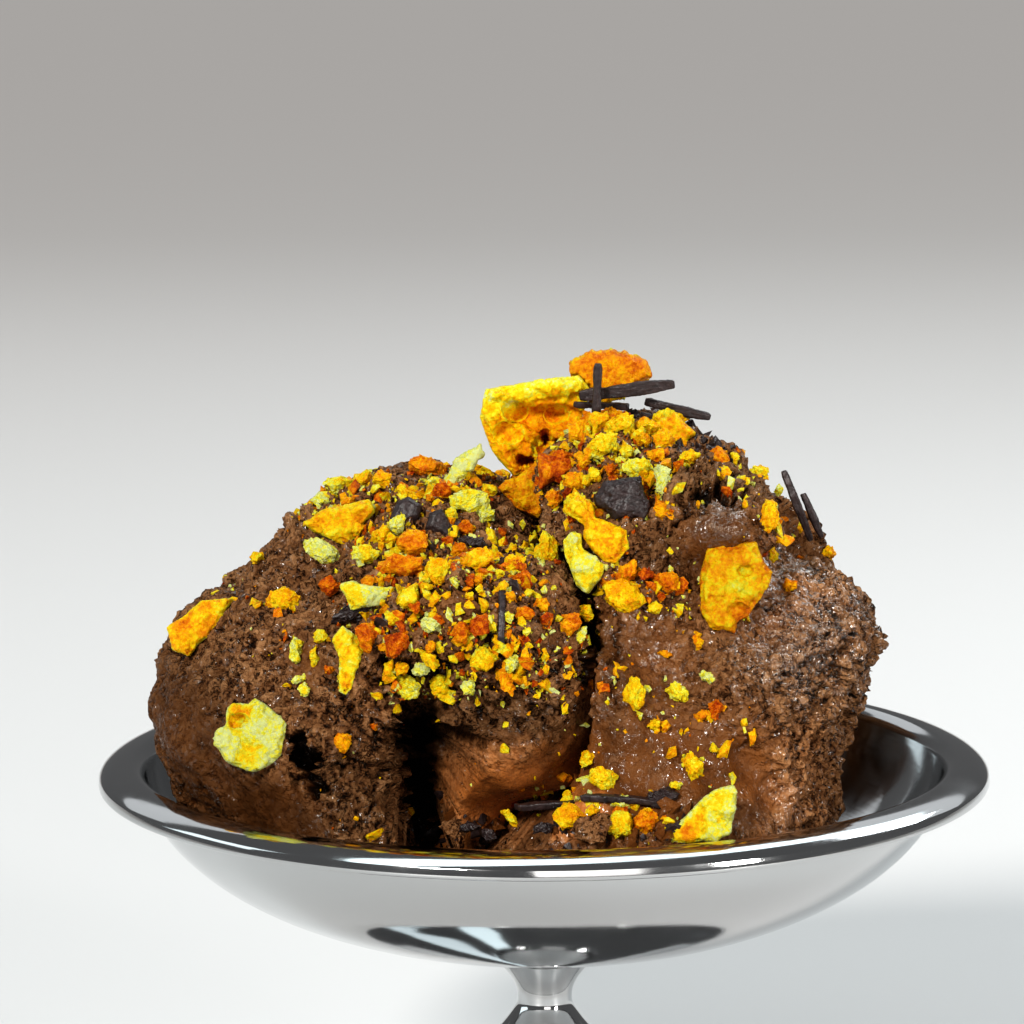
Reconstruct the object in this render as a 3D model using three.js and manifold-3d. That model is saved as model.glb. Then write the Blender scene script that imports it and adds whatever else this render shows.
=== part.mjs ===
// Chocolate mousse in a footed steel cup, topped with honeycomb toffee and dark chocolate.
//
// Millimetres, +Z up. The origin is the centre of the foot, on the table. The front is towards -Y.
// The cup is a spun bowl welded to a spun pedestal. Three spoonfuls of mousse are heaped in it, and
// broken honeycomb, chocolate chunks, shavings and crumbs lie on them.

import * as THREE from "three";
import { mergeVertices } from "three/addons/utils/BufferGeometryUtils.js";
import Module from "manifold-3d";

// ---- Driving dimensions -------------------------------------------------------------------------

const GAP = 0.3; // left between two pieces that touch

// Cup
const LIP_RADIUS = 55; // outer edge of the rolled lip
const LIP_EDGE_HEIGHT = 54; // height of that edge
const CREST_RADIUS = 50.9; // highest ring of the lip
const CREST_HEIGHT = 55.85;
const SHEET = 0.9; // thickness of the steel
const BOWL_RADIUS = 50.6; // where the bowl's round side would reach the height below
const BOWL_TOP = 57.8;
const BOWL_DEPTH = 25.5; // from that height down to the underside of the bowl
const BOWL_FULLNESS = 2.1; // 2 would be an ellipse, more is fuller
const FOOT_RADIUS = 33;
const FOOT_RING = 2.4; // width of the flat ring that stands on the table
const STEM_WAIST = 3.4; // radius of the stem where it is thinnest
const STEM_WAIST_HEIGHT = 25.3;
const STEM_COLLAR = 5.7; // radius where the stem spreads under the bowl
const CUP_SEGMENTS = 32;
const ROOM_TOP = 130; // above everything that is laid in the cup

// Mousse: each spoonful is a few round lumps run into one another
const LUMP_HEIGHT = 1.2; // of the broad swells in its surface
const LUMP_LENGTH = 3.7;
const KNOB_HEIGHT = 0.56; // of the smaller knobs on them
const KNOB_LENGTH = 1.9;

// The maker lays the toppings on from one side: each is placed by where it is seen from this point,
// as (across, up) on the upright plane through the cup's axis, and lies where that sight line meets
// the mousse.
const MAKER_EYE = new THREE.Vector3(0, -508, 165.3);
const MAKER_UP = new THREE.Vector3(0, 0.21, 0.978);

// Colours
const STEEL = 0xc9cdd0;
const MOUSSE = 0x5c331c;
const GOLD_TOFFEE = 0xe2a310;
const PALE_TOFFEE = 0xe6dc6a;
const AMBER_TOFFEE = 0xd06a08;
const DARK_CHOCOLATE = 0x2a1d1a;

// ---- Solids -------------------------------------------------------------------------------------

const wasm = await Module();
wasm.setup();

const part = new THREE.Group();
part.name = "chocolate_mousse_in_cup";

function makeSolid(geometry) {
  const bare = geometry.index ? geometry.toNonIndexed() : geometry.clone();
  bare.deleteAttribute("normal");
  bare.deleteAttribute("uv");
  const welded = mergeVertices(bare, 1e-4);
  return new wasm.Manifold(
    new wasm.Mesh({
      numProp: 3,
      vertProperties: Float32Array.from(welded.attributes.position.array),
      triVerts: Uint32Array.from(welded.index.array),
    }),
  );
}

function makeGeometry(solid) {
  const mesh = solid.getMesh();
  const geometry = new THREE.BufferGeometry();
  geometry.setAttribute("position", new THREE.BufferAttribute(Float32Array.from(mesh.vertProperties), 3));
  geometry.setIndex(new THREE.BufferAttribute(Uint32Array.from(mesh.triVerts), 1));
  geometry.computeVertexNormals();
  return geometry;
}

function addPiece(name, geometry, colour, roughness, metalness = 0) {
  const material = new THREE.MeshStandardMaterial({ color: colour, roughness, metalness });
  const piece = new THREE.Mesh(geometry, material);
  piece.name = name;
  part.add(piece);
}

// Repeatable draws between 0 and 1
function drawsFrom(seed) {
  let count = 0;
  return () => {
    count += 1;
    const wave = Math.sin(seed * 12.9898 + count * 78.233) * 43758.5453;
    return wave - Math.floor(wave);
  };
}

// ---- Cup ----------------------------------------------------------------------------------------

// Radius of the bowl's side at a height, for a wall moved inwards by `inset`
function bowlRadius(height, inset) {
  const down = Math.max(0, (BOWL_TOP - height) / (BOWL_DEPTH - inset));
  if (down >= 1) return 0;
  return (BOWL_RADIUS - inset) * Math.pow(1 - Math.pow(down, BOWL_FULLNESS), 1 / BOWL_FULLNESS);
}

// A profile of (radius, height) turned about the upright axis
function spun(profile) {
  return new THREE.LatheGeometry(profile, CUP_SEGMENTS).rotateX(Math.PI / 2);
}

// Points of the bowl's side from the axis up to a height, closer together where it turns upwards
function bowlSide(inset, topHeight, steps) {
  const bottom = BOWL_TOP - BOWL_DEPTH + inset;
  const points = [new THREE.Vector2(0, bottom)];
  for (let i = 1; i <= steps; i++) {
    const height = bottom + (topHeight - bottom) * Math.pow(i / steps, 1.9);
    points.push(new THREE.Vector2(bowlRadius(height, inset), height));
  }
  return points;
}

// The lip is a quarter round that falls outwards from its crest, with the sheet turned down behind it
function lipCurve(thickness, steps) {
  const wide = LIP_RADIUS - CREST_RADIUS - thickness;
  const drop = CREST_HEIGHT - LIP_EDGE_HEIGHT;
  const points = [];
  for (let i = 0; i <= steps; i++) {
    const turn = (Math.PI / 2) * (i / steps);
    const across = CREST_RADIUS + wide * Math.sin(turn);
    points.push(new THREE.Vector2(across, LIP_EDGE_HEIGHT - thickness + drop * Math.cos(turn)));
  }
  return points;
}

function addBowl() {
  const outside = bowlSide(0, LIP_EDGE_HEIGHT - SHEET, 9);
  const under = lipCurve(SHEET, 3);
  const over = lipCurve(0, 4).reverse();
  const inside = bowlSide(SHEET, LIP_EDGE_HEIGHT + 0.9, 8).reverse();
  addPiece("cup_bowl", spun([...outside, ...under, ...over, ...inside]), STEEL, 0.12, 1);
}

// The pedestal is a trumpet: a flange welded under the bowl, a waist, and a foot dished underneath
function addPedestal() {
  const top = BOWL_TOP - BOWL_DEPTH - GAP;
  const collar = STEM_WAIST_HEIGHT + 4.3;
  const flange = [
    new THREE.Vector2(0, top),
    new THREE.Vector2(STEM_COLLAR + 1, top),
    new THREE.Vector2(STEM_COLLAR + 0.9, collar + 0.9),
    new THREE.Vector2(STEM_COLLAR, collar + 0.5),
  ];
  const outside = new THREE.SplineCurve([
    new THREE.Vector2(STEM_COLLAR, collar),
    new THREE.Vector2(STEM_WAIST + 0.6, STEM_WAIST_HEIGHT + 2),
    new THREE.Vector2(STEM_WAIST, STEM_WAIST_HEIGHT),
    new THREE.Vector2(STEM_WAIST + 0.6, STEM_WAIST_HEIGHT - 2),
    new THREE.Vector2(FOOT_RADIUS * 0.23, STEM_WAIST_HEIGHT - 6.2),
    new THREE.Vector2(FOOT_RADIUS * 0.45, STEM_WAIST_HEIGHT - 12.5),
    new THREE.Vector2(FOOT_RADIUS * 0.72, 6.2),
    new THREE.Vector2(FOOT_RADIUS - 1.2, 2),
  ]);
  const underside = new THREE.CubicBezierCurve(
    new THREE.Vector2(FOOT_RADIUS - FOOT_RING, 0),
    new THREE.Vector2(FOOT_RADIUS * 0.55, 4),
    new THREE.Vector2(FOOT_RADIUS * 0.25, 10),
    new THREE.Vector2(0, 13),
  );
  const rim = [new THREE.Vector2(FOOT_RADIUS, 1.2), new THREE.Vector2(FOOT_RADIUS, 0)];
  const outline = [...flange, ...outside.getPoints(10), ...rim, ...underside.getPoints(4)];
  addPiece("cup_pedestal", spun(outline.reverse()), STEEL, 0.12, 1);
}

// The room that the mousse may fill: inside the bowl's wall, and open above it
function mousseRoom() {
  const inset = SHEET + GAP;
  const side = bowlSide(inset, LIP_EDGE_HEIGHT, 8);
  side.push(new THREE.Vector2(bowlRadius(LIP_EDGE_HEIGHT, inset), LIP_EDGE_HEIGHT + 3));
  side.push(new THREE.Vector2(LIP_RADIUS + 10, LIP_EDGE_HEIGHT + 5));
  side.push(new THREE.Vector2(LIP_RADIUS + 10, ROOM_TOP), new THREE.Vector2(0, ROOM_TOP));
  return makeSolid(spun(side));
}

// ---- Mousse -------------------------------------------------------------------------------------

// A lump is an ellipsoid: its centre, its three radii, and how far its +X end is tipped up (degrees).
// The detail is how finely the skin is divided.
const SPOONFULS = {
  // The front left spoonful: a round back, a torn tongue that hangs over a hollow, and a torn lump
  mousse_left: {
    heart: [-18, -2, 63],
    detail: 7,
    blend: 4,
    lumps: [
      { at: [-22.5, -5, 63], radii: [25.4, 28, 19.5], tip: 0 },
      { at: [-16.5, 0, 73], radii: [21.5, 24, 18.5], tip: 25 },
      { at: [-22, -17, 52], radii: [13, 20.5, 14], tip: 0 },
      { at: [-7, -20.5, 75.5], radii: [14, 15.5, 9.5], tip: -12 },
      { at: [-2.8, -21.5, 66], radii: [10, 13.2, 10], tip: 0 },
    ],
    hollows: [
      { at: [-14.2, -38, 58.5], radii: [3.8, 21, 12], tip: 0 },
      { at: [0.5, -41, 50.5], radii: [13.5, 16, 7.5], tip: 20 },
      { at: [-29, -39, 60.5], radii: [2.2, 9, 4.2], tip: 0 },
    ],
  },
  // The right spoonful: a smooth wet base, a torn flank, and the crown that carries the peak
  mousse_right: {
    heart: [12, -8, 66],
    detail: 7,
    blend: 4,
    lumps: [
      { at: [9.5, -14, 51], radii: [25.5, 27.5, 14.5], tip: 0 },
      { at: [-3.5, -26, 50.5], radii: [8, 11.5, 8.4], tip: 0 },
      { at: [8.2, -22, 63], radii: [7.6, 12.6, 13], tip: 0 },
      { at: [21.5, -10, 64], radii: [15.5, 23, 15.5], tip: 0 },
      { at: [30.2, -8, 72.5], radii: [10.6, 16, 8.6], tip: 0 },
      { at: [12, -3, 79], radii: [17, 22, 19], tip: 0 },
      { at: [19.5, -17.5, 87.5], radii: [7.5, 6.5, 3.6], tip: 8 },
    ],
    hollows: [],
  },
  // The spoonful behind them
  mousse_back: {
    heart: [5, 17, 64],
    detail: 4,
    blend: 5,
    lumps: [
      { at: [15.5, 16, 65], radii: [24.5, 24, 24], tip: 0 },
      { at: [-9, 18, 62], radii: [23, 22, 25], tip: 0 },
      { at: [25.5, 10, 74], radii: [12.2, 15, 15.5], tip: 0 },
      { at: [3, 25, 71], radii: [13, 13, 15], tip: 0 },
    ],
    hollows: [],
  },
};

function blended(a, b, reach) {
  const share = Math.min(1, Math.max(0, 0.5 + (0.5 * (b - a)) / reach));
  return b * (1 - share) + a * share - reach * share * (1 - share);
}

// How far a point lies outside an ellipsoid, roughly in millimetres; less than 0 is inside
function outsideLump(lump, x, y, z) {
  const tip = THREE.MathUtils.degToRad(lump.tip);
  const px = x - lump.at[0];
  const pz = z - lump.at[2];
  const along = (px * Math.cos(tip) + pz * Math.sin(tip)) / lump.radii[0];
  const deep = (y - lump.at[1]) / lump.radii[1];
  const up = (pz * Math.cos(tip) - px * Math.sin(tip)) / lump.radii[2];
  return (Math.hypot(along, deep, up) - 1) * Math.min(...lump.radii);
}

// Swells and knobs of whipped mousse that was torn by the spoon
function swell(x, y, z) {
  const bx = x + 1.6 * Math.sin(y / 4.3 + 1.7);
  const by = y + 1.6 * Math.sin(z / 4.3 + 1.7);
  const bz = z + 1.6 * Math.sin(x / 4.3 + 1.7);
  const triple = (length, start) =>
    Math.sin(bx / length + start) * Math.sin(by / length + start) * Math.sin(bz / length + start);
  return LUMP_HEIGHT * triple(LUMP_LENGTH, 0.6) + KNOB_HEIGHT * triple(KNOB_LENGTH, 2.1);
}

// How far a point lies outside a spoonful; less than 0 is inside
function outsideSpoonful(spoonful, x, y, z) {
  let distance = Infinity;
  for (const lump of spoonful.lumps) {
    const next = outsideLump(lump, x, y, z);
    distance = distance === Infinity ? next : blended(distance, next, spoonful.blend);
  }
  for (const hollow of spoonful.hollows) {
    distance = -blended(-distance, outsideLump(hollow, x, y, z), 2);
  }
  return distance + swell(x, y, z);
}

// The spoonful's skin, swollen by `grow`: an icosahedron whose points slide out to where it ends
function spoonfulSolid(spoonful, grow) {
  const [cx, cy, cz] = spoonful.heart;
  const geometry = new THREE.IcosahedronGeometry(1, spoonful.detail);
  const points = geometry.attributes.position;
  const way = new THREE.Vector3();
  for (let i = 0; i < points.count; i++) {
    way.fromBufferAttribute(points, i).normalize();
    const inside = (reach) =>
      outsideSpoonful(spoonful, cx + way.x * reach, cy + way.y * reach, cz + way.z * reach) < grow;
    let reach = 4;
    while (inside(reach)) reach += 0.5;
    for (let step = 0.25; step > 1e-4; step /= 2) reach += inside(reach) ? step : -step;
    points.setXYZ(i, cx + way.x * reach, cy + way.y * reach, cz + way.z * reach);
  }
  return makeSolid(geometry);
}

// The spoonful nearest to a point, and how far outside it the point lies
function nearestSpoonful(x, y, z) {
  let found = { name: "", distance: Infinity };
  for (const [name, spoonful] of Object.entries(SPOONFULS)) {
    const distance = outsideSpoonful(spoonful, x, y, z);
    if (distance < found.distance) found = { name, distance };
  }
  return found;
}

// Where a straight line first meets the mousse, with the outward direction of the surface there
function landOnMousse(start, way, longest) {
  const at = start.clone();
  let gone = 0;
  while (nearestSpoonful(at.x, at.y, at.z).distance > 0.02 && gone < longest) {
    const step = Math.max(0.05, 0.4 * nearestSpoonful(at.x, at.y, at.z).distance);
    at.addScaledVector(way, step);
    gone += step;
  }
  const here = nearestSpoonful(at.x, at.y, at.z);
  const h = 0.6;
  const spoonful = SPOONFULS[here.name];
  const slope = (dx, dy, dz) =>
    outsideSpoonful(spoonful, at.x + dx, at.y + dy, at.z + dz) -
    outsideSpoonful(spoonful, at.x - dx, at.y - dy, at.z - dz);
  const outward = new THREE.Vector3(slope(h, 0, 0), slope(0, h, 0), slope(0, 0, h)).normalize();
  return { at, outward, name: here.name, missed: gone >= longest };
}

function landFromMaker(across, up) {
  const way = sightLine(across, up);
  return landOnMousse(MAKER_EYE.clone().addScaledVector(way, 440), way, 160);
}

function landFromAbove(x, y) {
  return landOnMousse(new THREE.Vector3(x, y, 110), new THREE.Vector3(0, 0, -1), 75);
}

function sightLine(across, up) {
  return new THREE.Vector3(across, 0, up).sub(MAKER_EYE).normalize();
}

// ---- Toppings -----------------------------------------------------------------------------------

// The broken outline of each larger piece, as (across, up) corners from its middle
const OUTLINES = {
  honeycomb_peak: [
    [-6.7, 1.1], [-5.9, 4.6], [-1, 5.3], [5.4, 6.2], [6.8, 4.4], [5.6, 0.2], [1.4, -4.2],
    [-2.4, -6.2], [-5.2, -3],
  ],
  honeycomb_cap: [
    [-5, 1.4], [-2.8, 2.9], [1.9, 3], [4.7, 1.5], [5.1, 0.1], [1.5, -2.8], [-2.6, -3.2], [-5, -0.4],
  ],
  honeycomb_brow: [
    [-3.5, 0.1], [-0.1, 2.2], [1.6, 3.5], [2.7, 3.1], [3.5, 0.9], [3.5, -1.7], [1.6, -3.5],
    [-1, -2.5],
  ],
  honeycomb_amber: [
    [-2.4, 2.2], [-0.5, 1.7], [2.5, 1.2], [1.7, -0.9], [0.9, -1.9], [-0.5, -1.3], [-2.2, -2.4],
  ],
  honeycomb_gold: [
    [-2.3, 4.2], [-0.6, 3], [-0.2, 1.3], [3.5, -0.2], [3.8, -2.3], [2.2, -4.2], [0.8, -4],
    [-1.5, -1.3], [-1.5, 0.3], [-3.8, 2],
  ],
  honeycomb_bright: [
    [-2.5, 2.6], [-1.5, 3.6], [-0.3, 3.4], [-0.1, 1.6], [2.5, -0.1], [2.3, -1.4], [0.5, -3.6],
    [-0.9, -2.6], [-2.2, 0.6],
  ],
  honeycomb_right: [
    [-3.3, 5], [2.4, 5.5], [3.2, 3.2], [4.3, 2], [3.7, 0.3], [1.4, -3.3], [0.1, -3.7],
    [-0.1, -5.5], [-3.1, -4.7], [-4.2, -2.3], [-4.2, 1.7],
  ],
  honeycomb_strip: [
    [-4.1, 0.3], [-1.5, 2], [0, 3.1], [2.5, 0.3], [1.3, -0.5], [4.1, -2.3], [2.6, -3.1],
    [-1.9, -2.3],
  ],
  honeycomb_lean: [
    [-2.8, -2.1], [-0.8, 0.6], [1, 2.3], [2.5, 3], [2.8, 1.7], [1, -0.5], [-0.8, -2.8], [-2.1, -3],
  ],
  honeycomb_wedge: [
    [-4.2, 0], [-2.1, 1.6], [3.7, 2.9], [4.2, 1.6], [2.3, -0.9], [1.9, -2.9], [0.7, -2.8],
    [-2.8, -0.9],
  ],
  honeycomb_plate: [
    [-3.4, 1.4], [-2.1, 1.7], [0.1, 1.2], [3.4, 1], [3.4, 0.1], [1.6, -1], [-2.1, -1.7],
  ],
  honeycomb_tall: [
    [-0.6, 4.1], [1.4, 2.3], [1.9, 1.2], [0.8, -1.4], [0.5, -3.2], [-0.3, -4.1], [-1.1, -3.6],
    [-1, 0.4], [-1.9, 2.3],
  ],
  honeycomb_far: [
    [-3.9, 0], [0.2, 3.3], [3.9, 3.5], [1.7, -0.9], [0, -1.8], [-1.2, -3.5], [-3.1, -2.7],
  ],
  honeycomb_low: [
    [-4.7, 0.2], [-3, 1.1], [-3, 3.6], [-0.3, 3.6], [0.3, 4.9], [2.5, 2.6], [4.7, 1.5],
    [3.7, -0.9], [3.9, -2.7], [0.3, -4.9], [-3.4, -3.5],
  ],
  honeycomb_foot: [
    [0.3, 2], [1.6, 3], [3.6, 3.3], [4.1, 2.7], [3.3, -2], [1.6, -3], [-3.4, -3.3], [-4.1, -2.7],
    [-2.7, -1],
  ],
  chocolate_chunk: [
    [-3.2, 0.2], [-2.1, 1.8], [2.1, 2.6], [3.2, -1.2], [2.6, -2.3], [-0.9, -2.6], [-3.1, -0.7],
  ],
  chocolate_square: [[-2, -1.1], [-1.1, 1.3], [0.4, 2], [2, 0.9], [1.6, -0.7], [-1.1, -2]],
  chocolate_wedge: [[-1.9, -0.5], [-1.4, 1.4], [0.1, 1.9], [1.9, -1.4], [0.8, -1.9]],
};

// `facing` turns a piece's broad side from lying flat on the mousse (0) to looking at the maker (1),
// `sunk` is how deep its middle lies, and `depth` stands it upright on the sight line at that Y
// instead. `bubbles` are cut open in its front.
const PIECES = [
  { name: "honeycomb_peak", kind: "gold", across: -0.9, up: 96.9, thick: 6.5, depth: 1.5, bubbles: 4 },
  { name: "honeycomb_cap", kind: "gold", across: 8.4, up: 103, thick: 5.5, depth: 3.5 },
  {
    name: "honeycomb_brow", kind: "amber", across: -3.2, up: 87.8, thick: 4, facing: 0.9, sunk: -1,
    bubbles: 1,
  },
  { name: "honeycomb_amber", kind: "amber", across: 2.1, up: 91.3, thick: 3, facing: 0.9, sunk: 0.3 },
  { name: "honeycomb_gold", kind: "gold", across: 6.7, up: 84.1, thick: 3.2, facing: 0.9, sunk: 0.5 },
  { name: "honeycomb_bright", kind: "gold", across: 5.1, up: 79.9, thick: 2.6, facing: 0.9, sunk: 0.4 },
  {
    name: "honeycomb_right", kind: "gold", across: 23.5, up: 76.8, thick: 4.2, facing: 0.9,
    sunk: -0.4, bubbles: 2,
  },
  { name: "honeycomb_strip", kind: "gold", across: 16.2, up: 95.2, thick: 2.4, facing: 0.8, sunk: 0.2 },
  { name: "honeycomb_lean", kind: "pale", across: -10.1, up: 90.5, thick: 2.6, facing: 1, sunk: -0.8 },
  { name: "honeycomb_wedge", kind: "gold", across: -24.9, up: 84.7, thick: 3.2, facing: 0.8, sunk: 0.4 },
  { name: "honeycomb_plate", kind: "pale", across: -21.3, up: 75.9, thick: 2.6, facing: 0.8, sunk: 0.3 },
  { name: "honeycomb_tall", kind: "gold", across: -24, up: 67.7, thick: 2.6, facing: 1, sunk: 0.3 },
  { name: "honeycomb_far", kind: "gold", across: -42.2, up: 71.8, thick: 2.2, facing: 0.7, sunk: 0.2 },
  {
    name: "honeycomb_low", kind: "pale", across: -36, up: 58.4, thick: 2.8, facing: 0.9, sunk: 0.2,
    bubbles: 1,
  },
  { name: "honeycomb_foot", kind: "pale", across: 19.3, up: 48.1, thick: 2.4, facing: 0.9, sunk: -0.9 },
  { name: "chocolate_chunk", kind: "dark", across: 9.8, up: 87.7, thick: 4, facing: 0.8, sunk: 0.6 },
  { name: "chocolate_square", kind: "dark", across: -16.8, up: 86, thick: 2.6, facing: 0.8, sunk: 0.4 },
  { name: "chocolate_wedge", kind: "dark", across: -12.5, up: 84.6, thick: 2.4, facing: 0.8, sunk: 0.4 },
];

// A shaving is a thin curled strip: its two ends as (across, up), its width, its bow out of line, and
// either the Y it hangs at or how deep it lies in the mousse
const SHAVING_THICKNESS = 0.8;
const SHAVINGS = [
  { name: "shaving_upright", from: [6.9, 104.6], to: [6.5, 96.2], wide: 1.5, bow: 0.1, depth: -5.6 },
  { name: "shaving_long", from: [4.6, 100.6], to: [16.2, 102], wide: 2.2, bow: 0.35, depth: -3.2 },
  { name: "shaving_short", from: [3.8, 99.6], to: [10.6, 99.2], wide: 1.8, bow: -0.3, depth: -1.4 },
  { name: "shaving_side", from: [12.6, 99.9], to: [20.6, 97.9], wide: 1.6, bow: 0.5, depth: -1.2 },
  { name: "shaving_fork_left", from: [29.6, 91.2], to: [33, 82.6], wide: 1.4, bow: 1.1, depth: 1.4 },
  { name: "shaving_fork_right", from: [32, 88.4], to: [34.3, 83], wide: 1.3, bow: 0.6, depth: 3.4 },
  { name: "shaving_low_left", from: [-3.6, 48.9], to: [3.8, 49.3], wide: 1.9, bow: 0.3, sunk: -0.2 },
  { name: "shaving_low_right", from: [5, 50.3], to: [14.8, 49.2], wide: 1.7, bow: 0.5, sunk: -0.2 },
  { name: "shaving_sunk", from: [-5, 76.2], to: [-5.2, 69.4], wide: 1.5, bow: 0.2, sunk: 0.1 },
];

function outlineOf(piece) {
  return OUTLINES[piece.name].map(([x, y]) => new THREE.Vector2(x, y));
}

// A slab with chamfered edges, of the piece's outline and thickness, swollen by `grow` all round
function brokenSlab(piece, grow) {
  const bevel = Math.min(0.7, piece.thick * 0.22);
  const geometry = new THREE.ExtrudeGeometry(new THREE.Shape(outlineOf(piece)), {
    depth: piece.thick - 2 * bevel + 2 * grow,
    steps: 1,
    bevelEnabled: true,
    bevelThickness: bevel,
    bevelSize: bevel,
    bevelOffset: grow - bevel,
    bevelSegments: 1,
  });
  geometry.translate(0, 0, bevel - grow - piece.thick / 2);
  return geometry;
}

// A frame at a place with its Z facing a way, its Y as upright to the maker as can be, then spun
function lyingFrame(place, facing, spin) {
  const upwards = MAKER_UP.clone().addScaledVector(facing, -MAKER_UP.dot(facing)).normalize();
  const sideways = new THREE.Vector3().crossVectors(upwards, facing);
  return new THREE.Matrix4()
    .makeBasis(sideways, upwards, facing)
    .setPosition(place)
    .multiply(new THREE.Matrix4().makeRotationZ(THREE.MathUtils.degToRad(spin)));
}

function pieceFrame(piece) {
  const way = sightLine(piece.across, piece.up);
  const towards = way.clone().negate();
  const place = new THREE.Vector3();
  const facing = towards.clone();
  if (piece.depth === undefined) {
    const landing = landFromMaker(piece.across, piece.up);
    facing.lerp(landing.outward, 1 - piece.facing).normalize();
    place.copy(landing.at).addScaledVector(landing.outward, 0.2 * piece.thick - piece.sunk);
  } else {
    place.copy(MAKER_EYE).addScaledVector(way, (piece.depth - MAKER_EYE.y) / way.y);
  }
  return lyingFrame(place, facing, 0);
}

// Gas bubbles that the break cut open: round pits in the slab's front
function cutBubbles(solid, piece, frame) {
  const draw = drawsFrom(1.5);
  const size = new THREE.Box2().setFromPoints(outlineOf(piece)).getSize(new THREE.Vector2());
  for (let i = 0; i < (piece.bubbles ?? 0); i++) {
    const angle = 2 * Math.PI * ((i + 0.6 * draw()) / piece.bubbles);
    const radius = (0.09 + 0.05 * draw()) * Math.min(size.x, size.y);
    const bubble = new THREE.IcosahedronGeometry(radius, 1);
    bubble.scale(1.3, 1, 1);
    bubble.translate(Math.cos(angle) * size.x * 0.25, Math.sin(angle) * size.y * 0.22, piece.thick / 2);
    bubble.applyMatrix4(frame);
    solid = solid.subtract(makeSolid(bubble));
  }
  return solid;
}

// A strip that follows the mousse, or hangs clear on the pieces of the peak
function shavingGeometry(shaving, grow) {
  const points = [];
  const steps = 4;
  for (let i = 0; i <= steps; i++) {
    const along = i / steps;
    const across = THREE.MathUtils.lerp(shaving.from[0], shaving.to[0], along);
    const up = THREE.MathUtils.lerp(shaving.from[1], shaving.to[1], along);
    const way = sightLine(across, up);
    const bow = shaving.bow * Math.sin(Math.PI * along);
    if (shaving.depth === undefined) {
      const landing = landFromMaker(across, up);
      points.push(landing.at.addScaledVector(landing.outward, bow - shaving.sunk));
    } else {
      const at = MAKER_EYE.clone().addScaledVector(way, (shaving.depth - MAKER_EYE.y) / way.y);
      points.push(at.add(new THREE.Vector3(0, -bow, 0)));
    }
  }
  const first = points[0].clone().sub(points[1]).normalize();
  const last = points[steps].clone().sub(points[steps - 1]).normalize();
  points[0].addScaledVector(first, grow);
  points[steps].addScaledVector(last, grow);
  const thin = SHAVING_THICKNESS / 2 + grow;
  const wide = shaving.wide / 2 + grow;
  const section = new THREE.Shape([
    new THREE.Vector2(-thin, -wide),
    new THREE.Vector2(thin, -wide * 0.9),
    new THREE.Vector2(thin, wide * 0.9),
    new THREE.Vector2(-thin, wide),
  ]);
  return new THREE.ExtrudeGeometry(section, {
    extrudePath: new THREE.CatmullRomCurve3(points),
    steps: 5,
    bevelEnabled: false,
  });
}

// ---- Crumbs -------------------------------------------------------------------------------------

// The larger crumbs, laid one by one and pressed into the mousse: across, up, width, height, spin
const CRUMBS = [
  // on the crown and under the peak
  [15, 89.5, 2.4, 5, 6],
  [15, 86, 3, 3, 30],
  [27.5, 85, 2.5, 4.6, -12],
  [15.5, 97, 5, 3, 8],
  [21, 92.5, 4, 3, 16],
  [7.5, 94, 4.5, 2.6, 28],
  [11.5, 91.5, 4, 2.4, 0],
  [4, 89.5, 2.6, 2.6, 30],
  // in the cleft below it
  [10, 75.5, 5, 4.6, -25],
  [15, 77.5, 3, 3, 10],
  [1, 81.5, 3, 5, -14],
  [-3.5, 79.5, 3.4, 2.2, 8],
  [3, 71.5, 2.6, 3.6, -25],
  // on the left spoonful, from its top down to its torn tongue
  [-9, 87, 5.4, 3.6, 0],
  [-14.5, 91.5, 5, 2.8, -4],
  [-19.5, 90, 3, 2.6, 0],
  [-24.5, 89.5, 5, 2.4, 14],
  [-27, 87.5, 3, 2, -20],
  [-27, 81, 5.6, 3.2, -32],
  [-16, 82, 4.4, 4, -35],
  [-21.5, 81, 4.4, 2.2, -8],
  [-8, 80, 5.4, 2.8, 4],
  [-8.5, 82.2, 4.6, 1.5, -2],
  [-17.5, 79, 6.8, 3, -6],
  [-13, 78.5, 3.8, 3.6, 40],
  [-16, 75.5, 2.8, 3.4, -20],
  [-32, 75, 5.2, 2.6, -6],
  [-26, 77, 2.6, 2.6, 20],
  [-23.5, 73.6, 5.6, 2.4, 24],
  [-13.5, 72.5, 3.6, 2.6, -4],
  [-10, 71.5, 3, 2.8, 12],
  [-8, 72, 3, 3.2, -30],
  [-21.3, 70.6, 3.4, 3.6, 20],
  [-18, 70, 3.4, 3.8, -15],
  [-7.5, 68, 3.2, 3.2, 10],
  [-4.5, 65.5, 1.8, 5.6, 4],
  [-19, 66.5, 2, 3.6, -20],
  [-17, 64.5, 3, 3, 15],
  [-12.5, 64.5, 2.6, 2.6, -15],
  [-30.5, 69, 1.8, 3.8, 4],
  // on the right spoonful and at its foot
  [11, 63, 2.5, 5, 2],
  [16.5, 63, 2.8, 3.2, 25],
  [18.5, 54, 2.6, 3.6, 15],
  [7.5, 52.5, 3.5, 3, 20],
  [3, 47.5, 3.6, 4, 30],
  [9.5, 46.8, 3.6, 4, -35],
  [15, 50, 5, 2.4, 10],
];

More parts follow.
